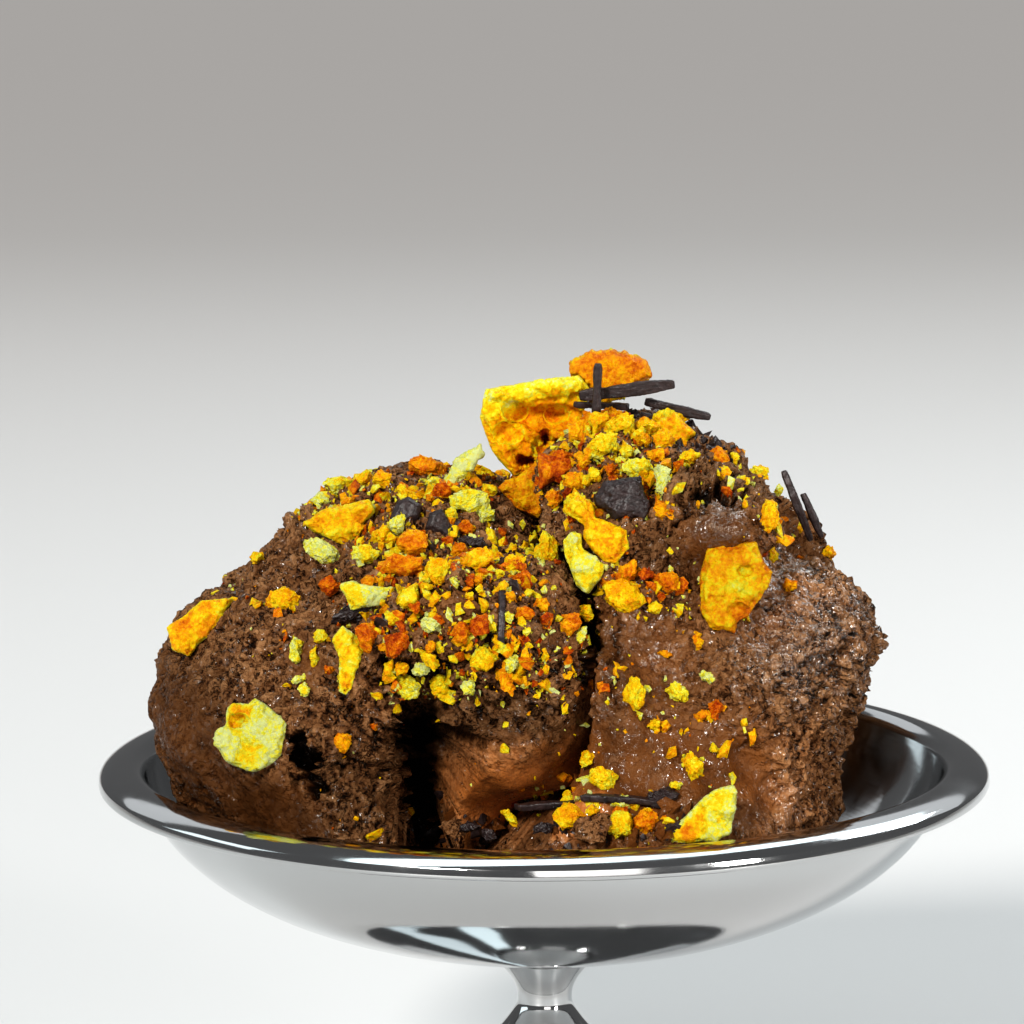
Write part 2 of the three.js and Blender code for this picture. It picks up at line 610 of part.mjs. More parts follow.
// Finer crumbs are strewn along trails: each runs from one (across, up) to another with a half
// width, and its crumbs come in a range of sizes, the largest first
const CRUMB_TRAILS = [
  { from: [-27, 86], to: [-8, 90], half: 2.6, count: 6, sizes: [2.8, 1.7] },
  { from: [-21, 83], to: [-2, 79], half: 3.6, count: 7, sizes: [2.8, 1.7] },
  { from: [-19, 74], to: [0, 67], half: 4.4, count: 8, sizes: [2.8, 1.6] },
  { from: [4, 95], to: [14, 90], half: 3.2, count: 4, sizes: [2.8, 1.7] },
  { from: [8, 77], to: [17, 77], half: 3, count: 3, sizes: [2.8, 1.7] },
  { from: [10, 62], to: [20, 56], half: 4.5, count: 3, sizes: [2.6, 1.6] },
  { from: [1, 52], to: [14, 48], half: 2.4, count: 3, sizes: [2.8, 1.6] },
  { from: [-36, 74], to: [-27, 65], half: 4, count: 2, sizes: [2.8, 1.7] },
  { from: [22, 92], to: [30, 83], half: 2.4, count: 2, sizes: [2.8, 1.7] },
];

// The same on the far side, dropped from straight above: (x, y) to (x, y)
const FAR_TRAILS = [
  { from: [-24, 10], to: [22, 20], half: 7, count: 11, sizes: [4.4, 2] },
  { from: [-6, 30], to: [24, 30], half: 5, count: 4, sizes: [3.4, 2] },
];

// A crumb lies nearly flat on the mousse, with a third of its thickness pressed in
function layCrumb(landing, wide, high, spin, seed) {
  const thick = 0.5 * Math.min(wide, high) + 0.5;
  const facing = MAKER_EYE.clone().sub(landing.at).normalize().lerp(landing.outward, 0.6).normalize();
  const place = landing.at.clone().addScaledVector(landing.outward, 0.17 * thick);
  const frame = lyingFrame(place, landing.at.y < 0 ? facing : landing.outward, spin);
  return { host: landing.name, missed: landing.missed, at: landing.at, wide, high, thick, frame, seed };
}

function strewCrumbs(trail, index, land) {
  const draw = drawsFrom(100 + index);
  const crumbs = [];
  for (let i = 0; i < trail.count; i++) {
    const along = draw();
    const aside = trail.half * (draw() + draw() - 1) * 1.6;
    const across = THREE.MathUtils.lerp(trail.from[0], trail.to[0], along) + 0.5 * aside;
    const up = THREE.MathUtils.lerp(trail.from[1], trail.to[1], along) + aside;
    const size = THREE.MathUtils.lerp(trail.sizes[0], trail.sizes[1], Math.sqrt(i / trail.count));
    const long = 0.75 + 0.5 * draw();
    crumbs.push(layCrumb(land(across, up), size * long, size / long, 360 * draw(), index * 50 + i));
  }
  return crumbs;
}

// An angular splinter: a box with its corners pushed about
function crumbSolid(crumb) {
  const draw = drawsFrom(crumb.seed + 0.25);
  const box = new THREE.BoxGeometry(1, 1, 1);
  box.deleteAttribute("normal");
  box.deleteAttribute("uv");
  const geometry = mergeVertices(box);
  const points = geometry.attributes.position;
  for (let i = 0; i < points.count; i++) {
    const push = () => 0.62 + 0.38 * draw();
    points.setXYZ(i, points.getX(i) * push(), points.getY(i) * push(), points.getZ(i) * push());
  }
  geometry.scale(crumb.wide * 1.15, crumb.high * 1.15, crumb.thick * 1.1).applyMatrix4(crumb.frame);
  return makeSolid(geometry);
}

// A crumb is left out where it would bridge to another spoonful, meet the cup or a larger piece, or
// lie on a crumb that is there already
function hasRoom(crumb, laid, pieces) {
  const reach = 0.5 * Math.hypot(crumb.wide, crumb.high);
  const { x, y, z } = crumb.at;
  if (crumb.missed) return false;
  for (const [name, spoonful] of Object.entries(SPOONFULS)) {
    if (name !== crumb.host && outsideSpoonful(spoonful, x, y, z) < 0.5 * reach + 0.4) return false;
  }
  const wallRadius = bowlRadius(Math.min(z - reach, LIP_EDGE_HEIGHT), SHEET);
  if (z < CREST_HEIGHT + 2 && Math.hypot(x, y) > wallRadius - reach) return false;
  if (laid.some((other) => other.at.distanceTo(crumb.at) < 0.3 * (crumb.wide + other.wide))) return false;
  return pieces.every((box) => box.distanceToPoint(crumb.at) > 0.5 * reach);
}

function layCrumbs(toppings) {
  const boxes = toppings.map((topping) => topping.box);
  const wanted = [
    ...CRUMBS.map(([across, up, ...size], i) => layCrumb(landFromMaker(across, up), ...size, 900 + i)),
    ...CRUMB_TRAILS.flatMap((trail, i) => strewCrumbs(trail, i, landFromMaker)),
    ...FAR_TRAILS.flatMap((trail, i) => strewCrumbs(trail, i + CRUMB_TRAILS.length, landFromAbove)),
  ];
  const laid = [];
  for (const crumb of wanted) {
    if (hasRoom(crumb, laid, boxes)) laid.push(crumb);
  }
  return laid;
}

// ---- Putting it together ------------------------------------------------------------------------

const PIECE_COLOURS = {
  gold: GOLD_TOFFEE,
  pale: PALE_TOFFEE,
  amber: AMBER_TOFFEE,
  dark: DARK_CHOCOLATE,
};

// Pieces are laid in the order of the lists. One that meets an earlier one is cut back from it.
function layToppings(room) {
  const laid = [];
  const lay = (name, colour, exact, grown) => {
    grown.computeBoundingBox();
    const box = grown.boundingBox;
    let solid = exact.intersect(room);
    for (const earlier of laid) {
      if (earlier.box.intersectsBox(box)) solid = solid.subtract(earlier.grown);
    }
    laid.push({ name, colour, solid, grown: makeSolid(grown), box });
  };
  for (const piece of PIECES) {
    const frame = pieceFrame(piece);
    const geometry = brokenSlab(piece, 0).applyMatrix4(frame);
    const grown = brokenSlab(piece, GAP).applyMatrix4(frame);
    const solid = cutBubbles(makeSolid(geometry), piece, frame);
    lay(piece.name, PIECE_COLOURS[piece.kind], solid, grown);
  }
  for (const shaving of SHAVINGS) {
    const grown = shavingGeometry(shaving, GAP);
    lay(shaving.name, DARK_CHOCOLATE, makeSolid(shavingGeometry(shaving, 0)), grown);
  }
  return laid;
}

// A solid without the tiny sealed gaps that crumbs leave against the skin
function largestShell(solid) {
  return solid.decompose().reduce((kept, shell) => (shell.volume() > kept.volume() ? shell : kept));
}

// Each spoonful gives way to the ones before it in the list, to the bowl and to the larger toppings,
// and takes its own crumbs
function addMousse(toppings, room) {
  const crumbs = layCrumbs(toppings);
  const grown = {};
  for (const [name, spoonful] of Object.entries(SPOONFULS)) {
    grown[name] = spoonfulSolid(spoonful, GAP + 0.1);
  }
  const earlier = [];
  for (const [name, spoonful] of Object.entries(SPOONFULS)) {
    let solid = spoonfulSolid(spoonful, 0).intersect(room);
    for (const other of earlier) solid = solid.subtract(grown[other]);
    for (const crumb of crumbs.filter((laid) => laid.host === name)) {
      let splinter = crumbSolid(crumb).intersect(room);
      for (const other of Object.keys(SPOONFULS)) {
        if (other !== name) splinter = splinter.subtract(grown[other]);
      }
      if (solid.intersect(splinter).getMesh().triVerts.length > 0) solid = solid.add(splinter);
    }
    for (const topping of toppings) solid = solid.subtract(topping.grown);
    addPiece(name, makeGeometry(largestShell(solid)), MOUSSE, 0.6);
    earlier.push(name);
  }
}

addBowl();
addPedestal();
const room = mousseRoom();
const toppings = layToppings(room);
addMousse(toppings, room);
for (const topping of toppings) {
  addPiece(topping.name, makeGeometry(topping.solid), topping.colour, 0.4);
}

export default part;
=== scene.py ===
# Chocolate mousse in a footed steel cup, topped with honeycomb toffee, dark chocolate and crumbs.
# Metres, +Z up. The cup stands on the table at the origin, and its front is towards -Y.

import math
import bmesh
import bpy
import numpy as np
from mathutils import Matrix, Vector


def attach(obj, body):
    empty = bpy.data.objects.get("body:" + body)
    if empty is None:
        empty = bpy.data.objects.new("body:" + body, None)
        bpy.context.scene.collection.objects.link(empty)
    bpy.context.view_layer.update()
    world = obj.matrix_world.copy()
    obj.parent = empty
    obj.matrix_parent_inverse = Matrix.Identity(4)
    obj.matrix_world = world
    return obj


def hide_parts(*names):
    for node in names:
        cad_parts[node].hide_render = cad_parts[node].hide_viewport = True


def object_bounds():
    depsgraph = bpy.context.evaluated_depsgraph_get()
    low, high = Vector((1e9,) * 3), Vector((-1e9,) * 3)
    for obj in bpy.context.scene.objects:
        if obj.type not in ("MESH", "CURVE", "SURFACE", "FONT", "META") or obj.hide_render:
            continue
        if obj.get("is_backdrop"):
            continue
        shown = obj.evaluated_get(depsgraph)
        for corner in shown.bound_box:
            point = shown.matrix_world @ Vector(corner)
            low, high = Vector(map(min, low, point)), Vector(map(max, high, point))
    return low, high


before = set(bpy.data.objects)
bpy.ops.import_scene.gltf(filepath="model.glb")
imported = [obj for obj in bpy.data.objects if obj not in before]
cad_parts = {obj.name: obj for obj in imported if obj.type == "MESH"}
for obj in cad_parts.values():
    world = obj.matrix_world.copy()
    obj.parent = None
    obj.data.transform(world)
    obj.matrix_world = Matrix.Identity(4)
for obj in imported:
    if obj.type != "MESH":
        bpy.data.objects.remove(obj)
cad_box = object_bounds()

MM = 0.001


# ---- Where it stands ---------------------------------------------------------------------------
# A pale table under soft studio light. The key light stands high on the left in front of the cup,
# and the viewer sits a little above the lip.

EYE = Vector((0, -0.507957, 0.165264))
EYE_AIM = Vector((-0.003747, 0, 0.086269))
EYE_ROLL = -0.00583
LENS = 147.05
SENSOR = 36
CLIP = (0.01, 60)
TABLE_HALF = 15.0
TABLE_COLOUR = (0.66, 0.65, 0.645, 1)
KEY_PLACE = (-0.30, -0.58, 0.46)
KEY_STRENGTH = 2.9
KEY_SPREAD = 0.17
# Soft panels around the heap: their place, size, power and colour
PANELS = {
    "front_fill": ((0.16, -0.85, 0.26), (0.40, 0.30), 0.7, (1, 0.97, 0.93)),
    "top_box": ((-0.10, 0.08, 0.75), (2.2, 0.26), 3.8, (0.84, 0.97, 1)),
    "left_panel": ((-0.95, 0.05, 0.45), (0.60, 0.45), 1.3, (0.86, 0.97, 1)),
    "back_panel": ((0, 0.95, 0.68), (2.2, 0.40), 1.7, (0.95, 0.98, 1)),
    "rim": ((0.42, 0.35, 0.50), (0.22, 0.22), 1.2, (0.93, 0.97, 1)),
    "side_box": ((0.55, -0.50, 0.26), (0.12, 0.20), 2.8, (1, 0.98, 0.95)),
}
HEAP = Vector((0, 0, 0.075))
ROOM_LIGHT = 0.15
ROOM_COLOUR = (0.82, 0.82, 0.83, 1)


def fill(tree, node, inputs):
    """Sets a node's inputs, each to a plain value or to another node's output."""
    for name, value in inputs.items():
        if isinstance(value, bpy.types.NodeSocket):
            tree.links.new(value, node.inputs[name])
        else:
            node.inputs[name].default_value = value


def new_material(name):
    """An empty node material and its surface shader."""
    material = bpy.data.materials.new(name)
    material.use_nodes = True
    tree = material.node_tree
    shader = next(n for n in tree.nodes if n.type == "BSDF_PRINCIPLED")
    return material, tree, shader


def linked(name, data):
    """A new object in the scene, at the origin, with its mesh, its light or its lens."""
    made = bpy.data.objects.new(name, data)
    bpy.context.scene.collection.objects.link(made)
    return made


def new_piece(name, corners, faces, material):
    """A mesh object at the origin, from its corner points and faces."""
    mesh = bpy.data.meshes.new(name)
    mesh.from_pydata([tuple(c) for c in corners], [], [tuple(f) for f in faces])
    mesh.update()
    mesh.materials.append(material)
    return linked(name, mesh)


def aimed(place, target, roll=0.0):
    """The matrix that puts a camera or a light at a place, looking at a target."""
    ahead = (target - place).normalized()
    right = ahead.cross(Vector((0, 0, 1))).normalized()
    above = right.cross(ahead)
    right, above = (
        math.cos(roll) * right + math.sin(roll) * above,
        math.cos(roll) * above - math.sin(roll) * right,
    )
    turned_to = Matrix((right, above, -ahead)).transposed().to_4x4()
    return Matrix.Translation(place) @ turned_to


camera = linked("camera", bpy.data.cameras.new("camera"))
camera.data.lens = LENS
camera.data.sensor_width = SENSOR
camera.data.clip_start, camera.data.clip_end = CLIP
camera.matrix_world = aimed(EYE, EYE_AIM, EYE_ROLL)
bpy.context.scene.camera = camera

table_finish, tree, shader = new_material("pale_table")
fill(tree, shader, {"Base Color": TABLE_COLOUR, "Roughness": 0.6})
table_corners = [(x * TABLE_HALF, y * TABLE_HALF, 0) for x, y in ((-1, -1), (1, -1), (1, 1), (-1, 1))]
table = new_piece("table", table_corners, [(0, 1, 2, 3)], table_finish)
table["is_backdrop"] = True


def add_light(name, kind, place, power, colour):
    """A light that looks at the heap."""
    lamp = bpy.data.lights.new(name, kind)
    lamp.energy = power
    lamp.color = colour
    linked(name, lamp).matrix_world = aimed(Vector(place), HEAP)
    return lamp


add_light("key", "SUN", KEY_PLACE, KEY_STRENGTH, (1, 0.97, 0.93)).angle = KEY_SPREAD
for name, (place, size, power, colour) in PANELS.items():
    panel = add_light(name, "AREA", place, power, colour)
    panel.shape = "RECTANGLE"
    panel.size, panel.size_y = size

world = bpy.data.worlds.new("studio")
world.use_nodes = True
bpy.context.scene.world = world
backdrop = next(n for n in world.node_tree.nodes if n.type == "BACKGROUND")
fill(world.node_tree, backdrop, {"Color": ROOM_COLOUR, "Strength": ROOM_LIGHT})
bpy.context.scene.view_settings.view_transform = "Standard"
bpy.context.scene.view_settings.look = "Medium High Contrast"


# ---- The bowl ----------------------------------------------------------------------------------
# A shallow bowl spun from polished stainless sheet, 110 mm across. Its lip is rolled outwards and
# down into a broad smooth rim.

LIP_RADIUS = 55.0
LIP_EDGE_HEIGHT = 54.0
CREST_RADIUS = 50.9
CREST_HEIGHT = 55.85
SHEET = 0.9
BOWL_RADIUS = 50.6
BOWL_TOP = 57.8
BOWL_DEPTH = 25.5
BOWL_FULLNESS = 2.1
LIP_BEAD = 0.42
SIDE_STEPS = 60
TURNS = 160
LATHE_LINE = MM / 2.6
WIPE_MARK = MM / 0.06


def bowl_radius(height, inset):
    """Radius of the bowl's side at a height, for a wall moved inwards, in millimetres."""
    down = np.clip((BOWL_TOP - height) / (BOWL_DEPTH - inset), 0, 1)
    return (BOWL_RADIUS - inset) * (1 - down**BOWL_FULLNESS) ** (1 / BOWL_FULLNESS)


def bowl_side(inset, top_height, steps):
    """Points of the bowl's side from the axis up to a height, closest together on the axis."""
    bottom = BOWL_TOP - BOWL_DEPTH + inset
    heights = bottom + (top_height - bottom) * np.linspace(0, 1, steps + 1) ** 1.9
    return [(float(bowl_radius(h, inset)), float(h)) for h in heights]


def turned(name, profile, material):
    """A solid of revolution: (radius, height) pairs in millimetres, from the axis round to the axis."""
    corners, rings = [], []
    for radius, height in profile:
        count = 1 if radius < 1e-6 else TURNS
        rings.append(range(len(corners), len(corners) + count))
        for i in range(count):
            angle = 2 * math.pi * i / TURNS
            corners.append((radius * MM * math.cos(angle), radius * MM * math.sin(angle), height * MM))
    faces = []
    for low, high in zip(rings, rings[1:]):
        for i in range(TURNS):
            j = (i + 1) % TURNS
            if len(low) == 1:
                faces.append((low[0], high[j], high[i]))
            elif len(high) == 1:
                faces.append((low[i], low[j], high[0]))
            else:
                faces.append((low[i], low[j], high[j], high[i]))
    piece = new_piece(name, corners, faces, material)
    piece.data.shade_smooth()
    return piece


def arc(centre, radii, start, end, steps):
    """Points on a quarter or less of an ellipse, angles in degrees from the +radius direction."""
    angles = np.radians(np.linspace(start, end, steps + 1))
    return [(centre[0] + radii[0] * math.cos(a), centre[1] + radii[1] * math.sin(a)) for a in angles]


def put(tree, kind, inputs=None, **settings):
    """A new node with its settings and its inputs."""
    made = tree.nodes.new(kind)
    for name, value in settings.items():
        setattr(made, name, value)
    fill(tree, made, inputs or {})
    return made


def places(tree):
    """Where each point is: in a geometry tree its place, in a material its object coordinates."""
    if tree.type == "GEOMETRY":
        return put(tree, "GeometryNodeInputPosition").outputs[0]
    return put(tree, "ShaderNodeTexCoord").outputs["Object"]


def vectors(tree, operation, first, second):
    """Two vectors added, subtracted or multiplied, or a vector scaled by a number."""
    inputs = {0: first, "Scale" if operation == "SCALE" else 1: second}
    return put(tree, "ShaderNodeVectorMath", inputs, operation=operation).outputs[0]


def maths(tree, operation, *values, clamp=False):
    """One step of arithmetic on numbers."""
    inputs = dict(enumerate(values))
    return put(tree, "ShaderNodeMath", inputs, operation=operation, use_clamp=clamp).outputs[0]


def ramped(tree, value, low, high, to_low=0.0, to_high=1.0, smooth=True):
    """A value stretched from low..high to 0..1, or to the given range, and held there outside it."""
    inputs = {"Value": value, "From Min": low, "From Max": high, "To Min": to_low, "To Max": to_high}
    kind = "SMOOTHSTEP" if smooth else "LINEAR"
    return put(tree, "ShaderNodeMapRange", inputs, interpolation_type=kind).outputs[0]


def per_length(tree, length, extra=1.0):
    """How many lengths go into a metre, from a number or from one of the tree's inputs."""
    return extra / length if isinstance(length, float) else maths(tree, "DIVIDE", extra, length)


def noise(tree, vector, length, detail=3.0, roughness=0.55, extra=1.0, seed=None):
    """Noise whose swells are about `length` metres long, between 0 and 1."""
    scale = per_length(tree, length, extra)
    inputs = {"Vector": vector, "Scale": scale, "Detail": detail, "Roughness": roughness}
    if seed is None:
        return put(tree, "ShaderNodeTexNoise", inputs).outputs["Fac"]
    inputs["W"] = seed
    return put(tree, "ShaderNodeTexNoise", inputs, noise_dimensions="4D").outputs["Fac"]


def bumped(tree, height, distance, strength=1.0):
    """A normal bent by a height from 0 to 1, which stands for a distance in metres."""
    inputs = {"Height": height, "Strength": strength, "Distance": distance}
    return put(tree, "ShaderNodeBump", inputs).outputs[0]


# Polished steel: turning lines from the spinning lathe, faint wipe marks and a little haze
steel, tree, shader = new_material("polished_steel")
place = places(tree)
apart = put(tree, "ShaderNodeSeparateXYZ", {"Vector": place})
level = vectors(tree, "MULTIPLY", place, (1, 1, 0))
radius = put(tree, "ShaderNodeVectorMath", {0: level}, operation="LENGTH").outputs["Value"]
turning = put(tree, "ShaderNodeCombineXYZ", {"X": radius, "Y": apart.outputs["Z"]}).outputs[0]
lathe_lines = noise(tree, turning, LATHE_LINE, 3.0, 0.6)
wipe = noise(tree, place, WIPE_MARK, 5.0, 0.65)
steel_looks = {
    "Base Color": (0.56, 0.57, 0.575, 1),
    "Metallic": 1.0,
    "Roughness": ramped(tree, wipe, 0.45, 0.75, 0.07, 0.17, smooth=False),
    "Normal": bumped(tree, lathe_lines, 0.1 * MM, 0.06),
}
fill(tree, shader, steel_looks)

outside = bowl_side(0, LIP_EDGE_HEIGHT - SHEET - 0.2, SIDE_STEPS)
lip_wide = LIP_RADIUS - CREST_RADIUS
lip_drop = CREST_HEIGHT - LIP_EDGE_HEIGHT
under = arc((CREST_RADIUS, LIP_EDGE_HEIGHT - SHEET), (lip_wide - SHEET, lip_drop), 86, 8, 14)
edge = arc((LIP_RADIUS - LIP_BEAD, LIP_EDGE_HEIGHT - LIP_BEAD), (LIP_BEAD, LIP_BEAD), -110, 20, 8)
over = arc((CREST_RADIUS, LIP_EDGE_HEIGHT), (lip_wide, lip_drop), 12, 90, 22)
shoulder = [(CREST_RADIUS - 0.55, CREST_HEIGHT - 0.12), (CREST_RADIUS - 1.0, CREST_HEIGHT - 0.45)]
inside = bowl_side(SHEET, LIP_EDGE_HEIGHT + 0.9, SIDE_STEPS)[::-1]
bowl = turned("bowl", [*outside, *under, *edge, *over, *shoulder, *inside], steel)
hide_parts("cup_bowl")
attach(bowl, "root")


# ---- The pedestal ------------------------------------------------------------------------------
# A trumpet foot spun from the same sheet, welded under the bowl by a small turned collar. It is
# dished underneath and stands on a flat ring.

FOOT_RADIUS = 33.0
FOOT_RING = 2.4
STEM_WAIST = 3.4
STEM_WAIST_HEIGHT = 25.3
STEM_COLLAR = 5.7
WELD_GAP = 0.3


def smooth_line(points, steps):
    """A curve through the points, as (radius, height) pairs."""
    points = [np.array(p, float) for p in points]
    ends = [2 * points[0] - points[1], *points, 2 * points[-1] - points[-2]]
    curve = []
    for a, b, c, d in zip(ends, ends[1:], ends[2:], ends[3:]):
        for t in np.linspace(0, 1, steps, endpoint=False):
            bend = 2 * b + (c - a) * t + (2 * a - 5 * b + 4 * c - d) * t**2 + (3 * b - a - 3 * c + d) * t**3
            curve.append(tuple(0.5 * bend))
    return [*curve, tuple(points[-1])]


collar_height = STEM_WAIST_HEIGHT + 4.3
collar_top = BOWL_TOP - BOWL_DEPTH - WELD_GAP
trumpet = smooth_line(
    [
        (STEM_COLLAR, collar_height),
        (STEM_WAIST + 0.6, STEM_WAIST_HEIGHT + 2),
        (STEM_WAIST, STEM_WAIST_HEIGHT),
        (STEM_WAIST + 0.6, STEM_WAIST_HEIGHT - 2),
        (FOOT_RADIUS * 0.23, STEM_WAIST_HEIGHT - 6.2),
        (FOOT_RADIUS * 0.45, STEM_WAIST_HEIGHT - 12.5),
        (FOOT_RADIUS * 0.72, 6.2),
        (FOOT_RADIUS - 1.2, 2),
    ],
    12,
)
collar = [
    (0, collar_top),
    (STEM_COLLAR + 0.7, collar_top),
    *arc((STEM_COLLAR + 0.6, collar_top - 0.5), (0.4, 0.5), 80, -80, 8),
    (STEM_COLLAR + 0.35, collar_top - 1.1),
    *arc((STEM_COLLAR + 0.3, collar_height + 0.9), (0.45, 0.4), 80, -80, 8),
    (STEM_COLLAR + 0.1, collar_height + 0.2),
]
foot_edge = arc((FOOT_RADIUS - 0.7, 0.9), (0.7, 0.9), 60, -90, 10)
dish = [
    (
        (1 - t) ** 3 * (FOOT_RADIUS - FOOT_RING)
        + 3 * t * (1 - t) ** 2 * FOOT_RADIUS * 0.55
        + 3 * t**2 * (1 - t) * FOOT_RADIUS * 0.25,
        3 * t * (1 - t) ** 2 * 4 + 3 * t**2 * (1 - t) * 10 + t**3 * 13,
    )
    for t in np.linspace(0, 1, 30)
]
pedestal = turned("pedestal", [*collar, *trumpet, *foot_edge, *dish][::-1], steel)
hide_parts("cup_pedestal")
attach(pedestal, "root")


# ---- The mousse --------------------------------------------------------------------------------
# Three spoonfuls of whipped chocolate mousse. Where the spoon tore them they are open and crumbly,
# full of small gas pits; where its back slid over them they are smooth and a little wet.

# A lump is an ellipsoid: its centre, its three radii and how far its +X end is tipped up, in
# millimetres and degrees. The skin is seen best where it leans to, so its mesh is closest there.
SPOONFULS = {
    "mousse_left": {
        "heart": (-18, -2, 63),
        "leans": (-0.12, -0.34, 0.12),
        "blend": 4,
        "lumps": [
            ((-22.5, -5, 63), (25.4, 28, 19.5), 0),
            ((-16.5, 0, 73), (21.5, 24, 18.5), 25),
            ((-22, -17, 52), (13, 20.5, 14), 0),
            ((-7, -20.5, 75.5), (14, 15.5, 9.5), -12),
            ((-2.8, -21.5, 66), (10, 13.2, 10), 0),
        ],
        "hollows": [
            ((-14.2, -38, 58.5), (3.8, 21, 12), 0),
            ((0.5, -41, 50.5), (13.5, 16, 7.5), 20),
            ((-29, -39, 60.5), (2.2, 9, 4.2), 0),
        ],
    },
    "mousse_right": {
        "heart": (12, -8, 66),
        "leans": (0.14, -0.34, 0.12),
        "blend": 4,
        "lumps": [
            ((9.5, -14, 51), (25.5, 27.5, 14.5), 0),
            ((-3.5, -26, 50.5), (8, 11.5, 8.4), 0),
            ((8.2, -22, 63), (7.6, 12.6, 13), 0),
            ((21.5, -10, 64), (15.5, 23, 15.5), 0),
            ((30.2, -8, 72.5), (10.6, 16, 8.6), 0),
            ((12, -3, 79), (17, 22, 19), 0),
            ((19.5, -17.5, 87.5), (7.5, 6.5, 3.6), 8),
        ],
        "hollows": [],
    },
    "mousse_back": {
        "heart": (5, 17, 64),
        "leans": (0.1, 0.25, 0.12),
        "blend": 5,
        "lumps": [
            ((15.5, 16, 65), (24.5, 24, 24), 0),
            ((-9, 18, 62), (23, 22, 25), 0),
            ((25.5, 10, 74), (12.2, 15, 15.5), 0),
            ((3, 25, 71), (13, 13, 15), 0),
        ],
        "hollows": [],
    },
}
# Waves on the skin, and how their places wander
SWELL = {"height": 1.2, "length": 3.7, "start": 0.6}
KNOBS = {"height": 0.56, "length": 1.9, "start": 2.1}
WANDER = {"height": 1.6, "length": 4.3, "start": 1.7}
HOLLOW_BLEND = 2
CUT_GAP = 0.4
WALL_SPREAD = 3.5  # how fast the mousse may spread over the lip
# The skin's mesh: steps along a cube's edge, how far out its lines start, and their stride and ends
SKIN_GRID = 128
FIRST_REACH = 4.0
STRIDE = 0.5
NEAR_ENOUGH = 0.002
EVENING_ROUNDS = 60
UNEVEN_MOST = 0.06
# Where the maker looks from to see what lies on the front, and the middle of a noise's colours
MAKER_EYE = np.array((0, -508, 165.3))
MIDDLE = (0.5, 0.5, 0.5)


def blended(a, b, reach):
    share = np.clip(0.5 + 0.5 * (b - a) / reach, 0, 1)
    return b * (1 - share) + a * share - reach * share * (1 - share)


def outside_lump(lump, x, y, z):
    """How far points lie outside an ellipsoid, roughly in millimetres; less than 0 is inside."""
    centre, radii, tip = lump
    cosine, sine = math.cos(math.radians(tip)), math.sin(math.radians(tip))
    px, pz = x - centre[0], z - centre[2]
    along = (px * cosine + pz * sine) / radii[0]
    deep = (y - centre[1]) / radii[1]
    up = (pz * cosine - px * sine) / radii[2]
    return (np.sqrt(along**2 + deep**2 + up**2) - 1) * min(radii)


def swell(x, y, z):
    """How far the skin stands in from its ellipsoids, in two sizes of wave."""
    pairs = ((x, y), (y, z), (z, x))
    bent = [v + WANDER["height"] * np.sin(w / WANDER["length"] + WANDER["start"]) for v, w in pairs]

    def waved(wave):
        return wave["height"] * math.prod(np.sin(v / wave["length"] + wave["start"]) for v in bent)

    return waved(SWELL) + waved(KNOBS)


def outside_spoonful(spoonful, x, y, z):
    distance = outside_lump(spoonful["lumps"][0], x, y, z)
    for lump in spoonful["lumps"][1:]:
        distance = blended(distance, outside_lump(lump, x, y, z), spoonful["blend"])
    for hollow in spoonful["hollows"]:
        distance = -blended(-distance, outside_lump(hollow, x, y, z), HOLLOW_BLEND)
    return distance + swell(x, y, z)


def outside_cut(name, x, y, z):
    """How far points lie outside a spoonful once it has given way to the earlier ones and the bowl."""
    distance = outside_spoonful(SPOONFULS[name], x, y, z)
    for other, spoonful in SPOONFULS.items():
        if other == name:
            break
        distance = np.maximum(distance, CUT_GAP - outside_spoonful(spoonful, x, y, z))
    wall = bowl_radius(np.minimum(z, LIP_EDGE_HEIGHT), SHEET + WELD_GAP)
    wall = np.where(z < LIP_EDGE_HEIGHT, wall, wall + WALL_SPREAD * (z - LIP_EDGE_HEIGHT))
    return np.maximum(distance, np.sqrt(x * x + y * y) - wall)


def made_plain(piece):
    """Turns what a piece's modifiers make into its plain mesh, and removes them."""
    evaluated = piece.evaluated_get(bpy.context.evaluated_depsgraph_get())
    mesh = bpy.data.meshes.new_from_object(evaluated)
    piece.modifiers.clear()
    piece.data = mesh


def applied(piece, geometry_tree, values):
    """Runs a tree of geometry nodes on a piece, with its inputs set by name."""
    modifier = piece.modifiers.new(geometry_tree.name, "NODES")
    modifier.node_group = geometry_tree
    for item in geometry_tree.interface.items_tree:
        if item.in_out == "INPUT" and item.name in values:
            modifier[item.identifier] = values[item.name]
    made_plain(piece)


def new_tree(name, sizes):
    """A tree of geometry nodes with an input for each size, its group input and its group output."""
    tree = bpy.data.node_groups.new(name, "GeometryNodeTree")
    tree.interface.new_socket("Geometry", in_out="OUTPUT", socket_type="NodeSocketGeometry")
    tree.interface.new_socket("Geometry", in_out="INPUT", socket_type="NodeSocketGeometry")
    for label, value in sizes.items():
        kind = "NodeSocketInt" if isinstance(value, int) else "NodeSocketFloat"
        tree.interface.new_socket(label, in_out="INPUT", socket_type=kind).default_value = value
    tree.interface.new_socket("Finish", in_out="INPUT", socket_type="NodeSocketMaterial")
    return tree, tree.nodes.new("NodeGroupInput").outputs, tree.nodes.new("NodeGroupOutput").inputs


def swelling(tree, value):
    """Noise stretched to run from -0.5 to 0.5."""
    return ramped(tree, value, 0.25, 0.75, -0.5, 0.5, smooth=False)


def cells(tree, vector, length, extra=1.0):
    """Cells about `length` metres apart, with the distance to their middles and a colour for each."""
    inputs = {"Vector": vector, "Scale": per_length(tree, length, extra)}
    return put(tree, "ShaderNodeTexVoronoi", inputs, voronoi_dimensions="3D", feature="F1").outputs


def split_from(tree, vector, length, detail, roughness, extra=1.0):
    """How far a noise is from its middle: 0 along lines that wander through it."""
    made = noise(tree, vector, length, detail, roughness, extra)
    return maths(tree, "ABSOLUTE", maths(tree, "SUBTRACT", made, 0.5))


